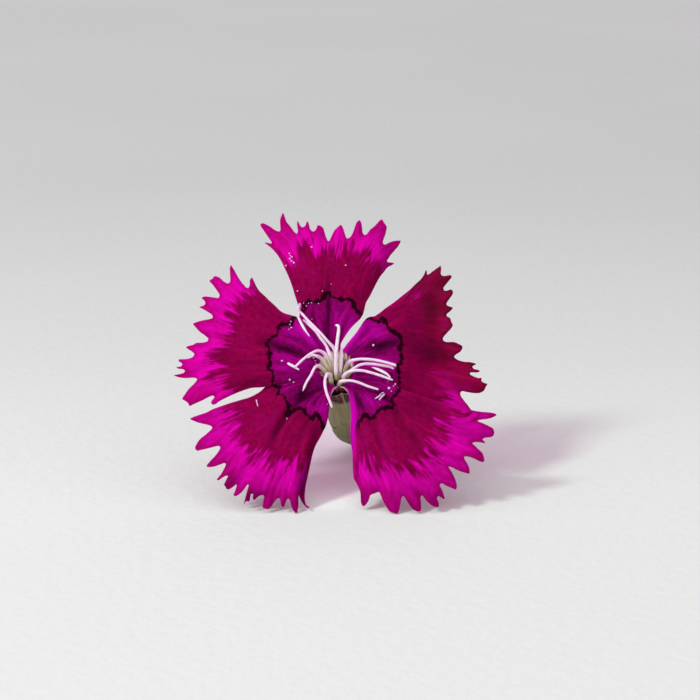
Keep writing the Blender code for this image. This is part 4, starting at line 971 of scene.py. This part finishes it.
def pod(path, radii, seed, groove=0.30, sides=18, crumb=0.16):
    """A pollen sac: two lobes side by side with a groove between, its skin crumpled."""
    path = rounded(drawn_path(path), 0.07)
    radii = np.interp(np.linspace(0, 1, len(path)), np.linspace(0, 1, len(radii)), radii)
    points, faces, along, turns = sweep(path, radii, sides, 1.0, 0.0)
    middle = np.repeat(np.vstack((path[:1],) * 3 + (path,) + (path[-1:],) * 3), sides, axis=0)
    off = points - middle
    waist = 1.0 - groove * np.abs(np.cos(turns)) ** 6
    rough = np.array([noise.noise(Vector(p * 5.0) + Vector((seed, 0, 0))) for p in points])
    rough += 0.5 * np.array([noise.noise(Vector(p * 13.0) + Vector((seed, 7, 0))) for p in points])
    points = middle + off * (waist * (1.0 + crumb * rough))[:, None]
    return points, faces, along, turns


def anther_material():
    n = Nodes("anther_skin", 0.7, 0.2)
    here = n.place()
    patchy = n.noise(here, 5200.0, 3.0, 0.6)
    fine = n.noise(here, 21000.0, 2.0, 0.6)
    colour = n.mix(n.step(patchy, 0.35, 0.62), tone(214, 160, 214), tone(240, 214, 238))
    colour = n.mix(n.step(fine, 0.55, 0.72, 0.0, 0.45), colour, tone(172, 106, 170))
    n.bump(n.math("ADD", fine, patchy), 0.7, 0.00005)
    n.shader.inputs["Subsurface Weight"].default_value = 0.2
    n.shader.inputs["Subsurface Scale"].default_value = 0.0003
    return n.colour(colour)


# ============================================================ pistil, calyx, bracts
def turned(profile, sides):
    """A closed shape turned about the flower's axis from (depth, radius) pairs: (points, faces, depth, turn)."""
    points, depths, turns, faces = [], [], [], []
    for depth, radius in profile:
        for k in range(sides):
            a = 2 * math.pi * k / sides
            points.append(place(radius * math.cos(a), radius * math.sin(a), -depth))
            depths.append(depth)
            turns.append(a)
    for i in range(len(profile) - 1):
        for k in range(sides):
            a, b = i * sides + k, i * sides + (k + 1) % sides
            faces.append((b, a, a + sides, b + sides))
    faces.append(tuple(range(sides)))
    faces.append(tuple(reversed(range((len(profile) - 1) * sides, len(profile) * sides))))
    return np.array(points), faces, np.array(depths), np.array(turns)


def make_pistil(material):
    length = OVARY_FOOT - OVARY_TOP
    profile = []
    for i in range(41):
        t = i / 40
        bulge = math.sin(math.pi * min(1.0, 0.06 + 0.94 * t) ** 0.8)
        profile.append((OVARY_TOP + length * t, max(0.28, OVARY_RADIUS * max(0.0, bulge) ** 0.6)))
    meshes = [turned(profile, 32)]
    for i, style in enumerate(STYLES):
        aside = -0.17 if i == 0 else 0.17
        column = np.stack((place(aside, 0, -OVARY_TOP - 0.8), place(aside * 1.3, 0, -3.0)))
        path = rounded(np.vstack((column, drawn_path(style))), 0.09 if FINE else 0.3)
        t = np.linspace(0, 1, len(path))
        stout = ((0.18, 0.24, 0.19, 0.165, 0.12), (0.18, 0.23, 0.21, 0.20, 0.13))[i]
        radii = np.interp(t, (0.0, 0.50, 0.72, 0.94, 1.0), stout)
        # the far half carries fine receptive hairs: a beaded skin
        radii = radii * (1.0 + 0.05 * np.sin(t * len(path) * 1.9) * smooth((t - 0.62) / 0.1))
        meshes.append(sweep(path, radii, 14, 0.9, 0.10, 3.0 + i))
    points, faces, along, turns = stacked(meshes)
    return mesh_piece(
        "pistil_look", points, faces, material,
        {"strand": np.stack((along, turns, np.full(len(along), 4.0)), axis=1), "high": over_mouth(points)},
        ("pistil",),
    )


CALYX_WALL, CALYX_FOOT, CALYX_TEETH, TOOTH_TIP, TOOTH_NOTCH = 0.20, 14.9, 5, 0.48, 1.75
CALYX_PROFILE = ((0.4, 2.27), (2.7, 2.30), (6.0, 2.44), (9.0, 2.46), (12.0, 2.43), (14.0, 2.18), (14.9, 1.66))
BRACT_THICKNESS, BRACT_FOOT, BRACT_TIP = 0.12, 14.75, 8.6
STALK_RADIUS, STALK_END = 0.78, 18.335


def calyx_radius(depth):
    return float(np.interp(depth, [d for d, _ in CALYX_PROFILE], [r for _, r in CALYX_PROFILE]))


def rounded_radius(depth):
    """The same profile with its corners eased."""
    return sum(calyx_radius(depth + d) for d in (-0.5, -0.25, 0.0, 0.25, 0.5)) / 5.0


def make_calyx(material):
    around, down = (260, 90) if FINE else (120, 40)
    first_tooth = math.radians(66.0)
    outer, inner, where = [], [], []
    for row in range(down + 1):
        for k in range(around):
            turn = 2 * math.pi * k / around
            phase = ((turn - first_tooth) * CALYX_TEETH / (2 * math.pi)) % 1.0
            off = abs(phase - round(phase)) * 2.0
            top = TOOTH_TIP + (TOOTH_NOTCH - TOOTH_TIP) * off**0.85
            t = (row / down) ** 1.15
            depth = top + (CALYX_FOOT - top) * t
            radius = rounded_radius(depth)
            fade = min(1.0, max(0.0, (CALYX_FOOT - depth) / 2.0))
            ribs = 0.010 * math.cos(turn * 35) * fade
            keel = -0.035 * math.exp(-(((1.0 - off) / 0.10) ** 2)) * fade
            rim = depth - top
            wall = CALYX_WALL * (0.45 + 0.55 * min(1.0, rim / 1.2))
            lean = 0.06 * max(0.0, 1.0 - rim / 1.6) * (1.0 - off)
            outer.append(place((radius + ribs + keel + lean) * math.cos(turn), (radius + ribs + keel + lean) * math.sin(turn), -depth))
            inner.append(place((radius + lean - wall) * math.cos(turn), (radius + lean - wall) * math.sin(turn),
                               -min(depth + 0.01, CALYX_FOOT - 0.2)))
            where.append((turn, depth, rim, off))
    count = len(outer)
    faces = []
    for row in range(down):
        for k in range(around):
            a, b = row * around + k, row * around + (k + 1) % around
            faces.append((b, a, a + around, b + around))
            faces.append((a + count, b + count, b + around + count, a + around + count))
    for k in range(around):
        faces.append((k, (k + 1) % around, (k + 1) % around + count, k + count))
    points = outer + inner
    last = down * around
    faces.append(tuple(last + k for k in reversed(range(around))))
    faces.append(tuple(count + last + k for k in range(around)))
    where = np.array(where)
    both = np.vstack((where, where))
    return mesh_piece(
        "calyx_look", np.array(points), faces, material,
        {"tube": both[:, :3], "gap": both[:, 3], "lining": np.repeat((0.0, 1.0), count)}, ("calyx",),
    )


def calyx_material():
    n = Nodes("calyx_skin", 0.62, 0.08)
    tube = n.attribute("tube").outputs["Vector"]
    turn, depth, rim = n.parts(tube)
    gap = n.attribute("gap").outputs["Fac"]
    lining = n.attribute("lining").outputs["Fac"]
    here = n.place()
    around = n.vector(n.math("MULTIPLY", n.math("COSINE", turn), 3.0), n.math("MULTIPLY", n.math("SINE", turn), 3.0),
                      n.math("MULTIPLY", depth, 0.25))
    cloud = n.noise(around, 1.0, 3.0)
    stripe = n.math("COSINE", n.math("MULTIPLY", turn, 35.0))
    fine = n.noise(here, 8000.0, 3.0, 0.6)
    blotch = n.noise(here, 2600.0, 3.0, 0.6)
    colour = n.mix(n.step(cloud, 0.35, 0.68), tone(147, 152, 112), tone(165, 170, 124))
    colour = n.mix(n.step(stripe, -0.2, 0.9, 0.0, 0.16), colour, tone(120, 116, 76))
    colour = n.mix(n.step(depth, 6.0, 12.5, 0.0, 0.5), colour, tone(142, 156, 98))
    flush = n.math("MULTIPLY", n.step(depth, 3.5, 2.7), n.step(gap, 0.0, 0.10))
    colour = n.mix(n.math("MULTIPLY", flush, n.step(blotch, 0.44, 0.52, 0.72, 1.0)), colour, tone(76, 1, 46))
    colour = n.mix(n.step(rim, 0.14, 0.02, 0.0, 0.6), colour, tone(176, 140, 140))
    colour = n.mix(n.step(fine, 0.35, 0.75, 0.0, 0.18), colour, tone(112, 106, 78))
    colour = n.mix(n.math("MULTIPLY", lining, 0.8), colour, tone(160, 158, 110))
    n.bump(n.math("MULTIPLY_ADD", stripe, 0.25, fine), 0.4, 0.00004)
    n.shader.inputs["Subsurface Weight"].default_value = 0.12
    n.shader.inputs["Subsurface Scale"].default_value = 0.0004
    return n.colour(colour)


def make_bract(name, direction, clearance, reach, material, seed):
    rows, columns = (56, 40) if FINE else (28, 20)
    outer, inner, where = [], [], []
    for i in range(rows + 1):
        t = i / rows
        depth = BRACT_FOOT + (BRACT_TIP - reach - BRACT_FOOT) * t
        belly = math.sin(math.pi * min(1.0, 0.30 + 0.70 * t)) ** 0.9 if t < 0.62 else 0.72 * (1 - t) ** 1.25 * 2.9
        half = min(50.0, 52.0 * max(0.012, belly))
        for j in range(columns + 1):
            s = 2 * j / columns - 1
            turn = math.radians(direction + half * s)
            spread = half / 50.0
            lift = 0.03 * math.cos(s * 9.0) * spread + 0.07 * math.exp(-((s * spread / 0.07) ** 2)) * min(1.0, 6 * (1 - t))
            edge = min(1.0, (1.0 - abs(s)) * spread / 0.25)
            radius = rounded_radius(depth) + clearance * min(1.0, max(0.0, (0.76 - t) / 0.26)) - 0.012
            thick = BRACT_THICKNESS * (0.20 + 0.80 * math.sqrt(max(0.0, 1 - (1 - edge) ** 2)))
            wave = 0.02 * math.sin(t * 9.0 + seed) * spread * abs(s)
            inner.append(place((radius + wave) * math.cos(turn), (radius + wave) * math.sin(turn), -depth))
            r = radius + wave + thick + lift * 0.6
            outer.append(place(r * math.cos(turn), r * math.sin(turn), -depth))
            where.append((s * spread * 3.0, t * 6.0, (1.0 - abs(s)) * spread))
    count = len(outer)
    wide = columns + 1
    faces = []
    for i in range(rows):
        for j in range(columns):
            a = i * wide + j
            faces.append((a, a + 1, a + 1 + wide, a + wide))
            faces.append((a + count, a + wide + count, a + 1 + wide + count, a + 1 + count))
    ring = (
        [j for j in range(wide)]
        + [i * wide + columns for i in range(1, rows + 1)]
        + [rows * wide + j for j in reversed(range(columns))]
        + [i * wide for i in reversed(range(1, rows))]
    )
    for a, b in zip(ring, ring[1:] + ring[:1]):
        faces.append((b, a, a + count, b + count))
    where = np.array(where)
    obj = mesh_piece(
        name + "_look", np.array(outer + inner), faces, material,
        {"leaf": np.vstack((where, where))}, (name,),
    )
    bm = bmesh.new()
    bm.from_mesh(obj.data)
    bmesh.ops.recalc_face_normals(bm, faces=bm.faces)
    bm.to_mesh(obj.data)
    bm.free()
    return obj


def bract_material():
    n = Nodes("bract_skin", 0.6, 0.25)
    across, along, rim = n.parts(n.attribute("leaf").outputs["Vector"])
    here = n.place()
    cloud = n.noise(here, 1400.0, 3.0)
    fine = n.noise(here, 9000.0, 3.0, 0.6)
    veins = n.math("COSINE", n.math("MULTIPLY", across, 16.0))
    colour = n.mix(n.step(cloud, 0.35, 0.65), tone(126, 138, 90), tone(142, 152, 102))
    colour = n.mix(n.step(veins, 0.2, 0.95, 0.0, 0.35), colour, tone(84, 98, 46))
    colour = n.mix(n.step(rim, 0.22, 0.03, 0.0, 0.45), colour, tone(160, 160, 112))
    colour = n.mix(n.step(along, 2.6, 5.0, 0.0, 0.85), colour, tone(148, 154, 104))
    colour = n.mix(n.step(along, 0.9, 0.0, 0.0, 0.6), colour, tone(150, 152, 92))
    colour = n.mix(n.step(fine, 0.4, 0.75, 0.0, 0.25), colour, tone(80, 88, 48))
    n.bump(n.math("MULTIPLY_ADD", veins, 0.5, fine), 0.5, 0.00005)
    n.shader.inputs["Subsurface Weight"].default_value = 0.1
    n.shader.inputs["Subsurface Scale"].default_value = 0.0004
    return n.colour(colour)


def make_stalk(material, pith):
    keys = ((15.05, 1.12), (15.35, 1.10), (15.75, 0.92), (16.2, STALK_RADIUS), (16.9, STALK_RADIUS * 0.97), (STALK_END, STALK_RADIUS))
    sides = 64 if FINE else 32
    depths = np.concatenate((np.linspace(15.05, 15.10, 3), np.linspace(15.14, STALK_END - 0.05, 44), (STALK_END - 0.02, STALK_END)))
    radius = np.interp(depths, [d for d, _ in keys], [r for _, r in keys])
    soft = np.array([np.interp(depths + s, [d for d, _ in keys], [r for _, r in keys]) for s in (-0.15, 0.0, 0.15)]).mean(axis=0)
    radius = np.minimum(radius + 0.02, soft)
    radius[0], radius[1] = radius[0] - 0.08, radius[1] - 0.02
    radius[-1], radius[-2] = STALK_RADIUS - 0.035, STALK_RADIUS - 0.01
    points, faces, where = [], [], []
    for depth, r in zip(depths, radius):
        for k in range(sides):
            a = 2 * math.pi * k / sides
            rib = 0.012 * math.cos(a * 14) * min(1.0, (STALK_END - depth) / 0.3)
            points.append(place((r + rib - 0.012) * math.cos(a), (r + rib - 0.012) * math.sin(a), -depth))
            where.append((a, depth, r))
    count = len(depths)
    for i in range(count - 1):
        for k in range(sides):
            a, b = i * sides + k, i * sides + (k + 1) % sides
            faces.append((b, a, a + sides, b + sides))
    faces.append(tuple(range(sides)))
    # the cut: a slightly dished, uneven face
    base = (count - 1) * sides
    previous = [base + k for k in range(sides)]
    for step, share in enumerate((0.85, 0.66, 0.45, 0.24, 0.08)):
        ring = []
        for k in range(sides):
            a = 2 * math.pi * k / sides
            r = (STALK_RADIUS - 0.035) * share
            dish = 0.05 * (1 - share**2) + 0.018 * noise.noise(Vector((math.cos(a) * share * 4, math.sin(a) * share * 4, 1.0)))
            ring.append(len(points))
            points.append(place(r * math.cos(a), r * math.sin(a), -(STALK_END - dish)))
            where.append((a, 30.0, r))
        for k in range(sides):
            faces.append((previous[(k + 1) % sides], previous[k], ring[k], ring[(k + 1) % sides]))
        previous = ring
    faces.append(tuple(reversed(previous)))
    points = np.array(points)
    points[:, 2] = np.maximum(points[:, 2], 0.002)
    obj = mesh_piece("stalk_look", points, faces, material, {"tube": np.array(where)}, ("stalk",))
    return obj


def stalk_material():
    n = Nodes("stalk_skin", 0.6, 0.25)
    turn, depth, r = n.parts(n.attribute("tube").outputs["Vector"])
    here = n.place()
    cloud = n.noise(here, 1500.0, 3.0)
    fine = n.noise(here, 9000.0, 3.0, 0.6)
    stripe = n.math("COSINE", n.math("MULTIPLY", turn, 14.0))
    skin = n.mix(n.step(cloud, 0.35, 0.65), tone(112, 124, 66), tone(132, 142, 84))
    skin = n.mix(n.step(stripe, 0.0, 0.9, 0.0, 0.35), skin, tone(92, 104, 52))
    skin = n.mix(n.step(depth, 15.9, 15.3, 0.0, 0.6), skin, tone(146, 148, 96))
    skin = n.mix(n.step(fine, 0.4, 0.75, 0.0, 0.2), skin, tone(84, 90, 52))
    cut = n.mix(n.step(r, 0.30, 0.46), tone(206, 214, 172), tone(168, 186, 122))
    cut = n.mix(n.step(fine, 0.45, 0.7, 0.0, 0.4), cut, tone(140, 152, 96))
    colour = n.mix(n.step(depth, 20.0, 25.0), skin, cut)
    n.bump(fine, 0.5, 0.00005)
    return n.colour(colour)


# ===================================================================== specks
def crumb(centre, size, seed, stretch=(1.0, 1.0, 1.0), level=2):
    bm = bmesh.new()
    bmesh.ops.create_icosphere(bm, subdivisions=level, radius=1.0)
    points = np.array([tuple(v.co) for v in bm.verts])
    faces = [tuple(v.index for v in f.verts) for f in bm.faces]
    bm.free()
    rough = np.array([1.0 + 0.22 * noise.noise(Vector(p * 1.7) + Vector((seed, seed * 0.7, 0.0))) for p in points])
    points = points * rough[:, None] * np.asarray(stretch) * size
    return centre + points, faces, np.zeros(len(points)), np.zeros(len(points))


def on_petal(petal, x, y, lift):
    """The point of a petal's face at a drawn point, raised by lift."""
    u, v = on_blade(petal, [(x, y)])[0]
    return place(u, v, blade_height(petal, u, v) + lift)


def pollen_material():
    n = Nodes("pollen", 0.75, 0.2)
    cloud = n.noise(n.place(), 9000.0, 2.0)
    colour = n.mix(n.step(cloud, 0.35, 0.65), tone(226, 150, 220), tone(246, 214, 242))
    n.bump(cloud, 0.4, 0.00003)
    n.shader.inputs["Subsurface Weight"].default_value = 0.15
    n.shader.inputs["Subsurface Scale"].default_value = 0.0002
    return n.colour(colour)


# ====================================================================== build
PETAL_MATERIAL = petal_material()
for petal_name, shape in PETALS.items():
    make_petal(petal_name, shape, PETAL_MATERIAL)

STRAND = filament_material("filament_skin", tone(246, 222, 242), tone(236, 196, 230), tone(206, 204, 150))
STYLE = filament_material("style_skin", tone(250, 234, 247), tone(240, 212, 234), tone(198, 204, 146))
ANTHER = anther_material()
POLLEN = pollen_material()
for i, (stamen_name, stamen) in enumerate(STAMENS.items()):
    make_stamen(stamen_name, stamen, STRAND, 1.7 * i)
make_pistil(STYLE)

# anthers that are still on their filaments: a crumpled empty sac, and white ones that have split lengthwise
pieces = stacked([pod(((299.6, 304.3, 2.45), (298.6, 308.5, 2.44), (298.5, 313, 2.4), (298.3, 317.5, 2.33)),
                      (0.14, 0.20, 0.19, 0.12), 2.0, 0.34, 18, 0.30)])
mesh_piece("anther_1_look", pieces[0], pieces[1], ANTHER, None)
pieces = stacked([pod(((298.2, 317.2, 2.32), (303.5, 327.5, 2.1), (309.2, 335.9, 1.9)), (0.12, 0.145, 0.05), 5.0, 0.15, 14, 0.06)])
mesh_piece("anther_1_valve_look", pieces[0], pieces[1], STYLE, {
    "strand": np.stack((pieces[2], pieces[3], pieces[2] * 0 + 2.0), axis=1), "high": pieces[2] * 0 + 3.0})
pieces = stacked([pod(((288.3, 363.5, 1.2), (293.4, 366.4, 1.15), (298.5, 369.4, 1.1)), (0.12, 0.14, 0.08), 7.0, 0.2, 14, 0.12)])
mesh_piece("anther_3_look", pieces[0], pieces[1], STYLE, {
    "strand": np.stack((pieces[2], pieces[3], pieces[2] * 0 + 3.0), axis=1), "high": pieces[2] * 0 + 3.0})
pieces = stacked([pod(((372.3, 367.4, 1.1), (377.0, 369.0, 1.15), (383.0, 371.8, 1.15), (387.6, 374.6, 1.15), (390.0, 377.2, 1.2)),
                      (0.05, 0.13, 0.155, 0.12, 0.07), 9.0, 0.15, 14, 0.05)])
mesh_piece("anther_9_look", pieces[0], pieces[1], STYLE, {
    "strand": np.stack((pieces[2], pieces[3], pieces[2] * 0 + 4.0), axis=1), "high": pieces[2] * 0 + 3.0})

# shed pollen and a shed anther lying on the petals: (petal, x, y, size in mm)
LOOSE = {
    "pollen_top": ("petal_top", ((289.5, 254, 0.09), (290.6, 256.2, 0.075), (292, 257.4, 0.08), (289.8, 259.3, 0.10),
                                 (291.4, 261.4, 0.08), (294, 263.2, 0.09), (292.6, 262.0, 0.05), (311.7, 247.5, 0.07),
                                 (345.8, 265.8, 0.10), (286, 266, 0.075), (297.5, 291.5, 0.095), (322.5, 291.5, 0.055),
                                 (331, 284.5, 0.05), (303.6, 303.6, 0.06), (306.5, 306.5, 0.07), (308.6, 303.8, 0.07),
                                 (311.4, 303.2, 0.06), (318.5, 304, 0.05), (312, 319.6, 0.06))),
    "pollen_left": ("petal_left", ((282, 361.4, 0.12), (289.9, 380.4, 0.10), (293.7, 382.7, 0.07), (291, 322, 0.09),
                                   (290, 325, 0.07), (291.4, 328, 0.08), (289.2, 329.8, 0.06), (313.7, 358.4, 0.08),
                                   (315.4, 361.2, 0.06), (316.2, 364.2, 0.07))),
    "pollen_lower_left": ("petal_lower_left", ((287, 419, 0.07), (327.4, 404.5, 0.05))),
    "pollen_upper_right": ("petal_upper_right", ((373.4, 345.8, 0.13),)),
    "pollen_lower_right": ("petal_lower_right", ((395.3, 384.6, 0.10), (393.6, 386.4, 0.07), (389, 388.8, 0.13),
                                                 (387.9, 381.8, 0.05), (391.4, 391.6, 0.06))),
}
rng = np.random.default_rng(11)
for loose_name, (petal_name, grains) in LOOSE.items():
    petal = PETALS[petal_name]
    meshes = []
    for x, y, size in grains:
        stretch = 0.75 + 0.5 * rng.random(3)
        meshes.append(crumb(on_petal(petal, x, y, 0.10 + 0.3 * size), size, float(rng.random() * 40), stretch))
    points, faces, _, _ = stacked(meshes)
    mesh_piece(loose_name, points, faces, POLLEN, None)

LOWER_RIGHT = PETALS["petal_lower_right"]
shed = []
for path, radius, seed in ((((375.4, 399.2), (378.0, 397.6), (380.0, 396.2)), 0.10, 1), (((379.6, 400.2), (381.6, 397.6), (384.4, 395.0)), 0.13, 2),
                           (((379.8, 395.6), (382.0, 393.8), (383.6, 393.2)), 0.09, 3)):
    line = rounded(np.array([on_petal(LOWER_RIGHT, x, y, 0.16) for x, y in path]), 0.06)
    bulge = radius * (0.55 + 0.45 * np.sin(np.linspace(0.2, math.pi - 0.2, len(line))))
    shed.append(sweep(line, bulge, 14, 0.8, 0.5, seed * 3.0))
points, faces, _, _ = stacked(shed)
mesh_piece("shed_anther", points, faces, POLLEN, None)
line = rounded(np.array([on_petal(PETALS["petal_lower_left"], x, y, 0.08) for x, y in ((256.4, 400.4), (257.0, 403.2), (257.9, 406.2))]), 0.05)
points, faces, _, _ = sweep(line, np.full(len(line), 0.05), 10, 1.0, 0.4, 2.0)
mesh_piece("fibre_lower_left", points, faces, POLLEN, None)

make_calyx(calyx_material())
BRACT = bract_material()
make_bract("bract_left", 174.0, 0.0, 0.0, BRACT, 1.0)
make_bract("bract_right", 354.0, 0.0, 0.0, BRACT, 2.0)
make_bract("bract_upper", 84.0, 0.15, 0.5, BRACT, 3.0)
make_bract("bract_lower", 264.0, 0.15, 0.5, BRACT, 4.0)
make_stalk(stalk_material(), None)


# ================================================================ floor and light
def floor_material():
    n = Nodes("pale_floor", 0.85, 0.1)
    here = n.place()
    x, y, z = n.parts(here)
    fine = n.noise(here, 700.0, 3.0, 0.5)
    cloud = n.noise(here, 14.0, 2.0, 0.5)
    # painted shade: the floor is painted darker from the front towards the back, standing in for the light falling off,
    # and a touch greener far back against the pinkish light
    colour = n.mix(n.step(y, -0.02, 0.07), tone(219, 219, 219), tone(208, 208, 208))
    colour = n.mix(n.step(y, 0.02, 0.17, 0.0, 1.0), colour, tone(192, 194, 193))
    colour = n.mix(n.step(y, 0.15, 0.60, 0.0, 1.0), colour, tone(199, 202, 200))
    colour = n.mix(n.step(cloud, 0.35, 0.65, 0.0, 0.10), colour, tone(212, 212, 213))
    # painted light: a lilac tint on the floor close to the blossom, as from light bounced off and passed through its
    # petals, a fainter one over its cast shadow on the right, and a painted brightening of the shaded floor under it
    for (middle_x, middle_y), (reach_x, reach_y), light_and_shade_tint in (
        ((-0.0005, 0.007), (0.0095, 0.017), tone(255, 231, 250)), ((0.015, 0.011), (0.015, 0.013), tone(255, 247, 253)),
        ((-0.0005, -0.001), (0.009, 0.012), (1.37, 1.37, 1.37, 1.0)),
    ):
        aside = n.math("POWER", n.math("DIVIDE", n.math("SUBTRACT", x, middle_x), reach_x), 2.0)
        behind = n.math("POWER", n.math("DIVIDE", n.math("SUBTRACT", y, middle_y), reach_y), 2.0)
        colour = n.mix(n.step(n.math("ADD", aside, behind), 1.0, 0.10), colour, light_and_shade_tint, "MULTIPLY")
    n.bump(fine, 0.30, 0.0004)
    return n.colour(colour)


mesh = bpy.data.meshes.new("floor")
bm = bmesh.new()
bmesh.ops.create_circle(bm, cap_ends=True, segments=96, radius=2.5)
bm.to_mesh(mesh)
bm.free()
floor = bpy.data.objects.new("floor", mesh)
mesh.materials.append(floor_material())
bpy.context.scene.collection.objects.link(floor)

scene = bpy.context.scene
scene.view_settings.view_transform = "Standard"
world = bpy.data.worlds.new("studio")
scene.world = world
world.use_nodes = True
world.node_tree.nodes["Background"].inputs["Color"].default_value = (1.0, 0.90, 0.965, 1.0)
world.node_tree.nodes["Background"].inputs["Strength"].default_value = 0.71


def lamp(name, toward, distance, size, power, colour=(1.0, 1.0, 1.0)):
    """An area light this far from the blossom, in metres, facing it."""
    light = bpy.data.lights.new(name, "AREA")
    light.shape = "DISK"
    light.size = size
    light.energy = power
    light.color = colour
    obj = bpy.data.objects.new(name, light)
    toward = Vector(toward).normalized()
    obj.location = Vector((0.0, 0.0, 0.012)) + toward * distance
    obj.rotation_mode = "QUATERNION"
    obj.rotation_quaternion = toward.to_track_quat("Z", "Y")
    scene.collection.objects.link(obj)


lamp("key", (-1.00, -0.62, 1.0), 0.9, 0.19, 4.25, (0.925, 1.18, 1.0))
lamp("top", (-0.15, -0.1, 1.0), 1.0, 0.9, 1.2, (1.0, 0.95, 0.985))
lamp("fill", (0.30, 1.0, 0.75), 1.1, 1.3, 1.3, (1.0, 0.84, 0.97))

camera_data = bpy.data.cameras.new("camera")
camera_data.lens = EYE_FOCAL / 700.0 * 36.0
camera_data.sensor_width = 36.0
camera_data.clip_start, camera_data.clip_end = 0.01, 20.0
camera = bpy.data.objects.new("camera", camera_data)
camera.rotation_mode = "QUATERNION"
camera.location = Vector(EYE * MM)
camera.rotation_quaternion = Matrix(np.stack((RIGHT, UP, -LOOK), axis=1).tolist()).to_quaternion()
scene.collection.objects.link(camera)
scene.camera = camera
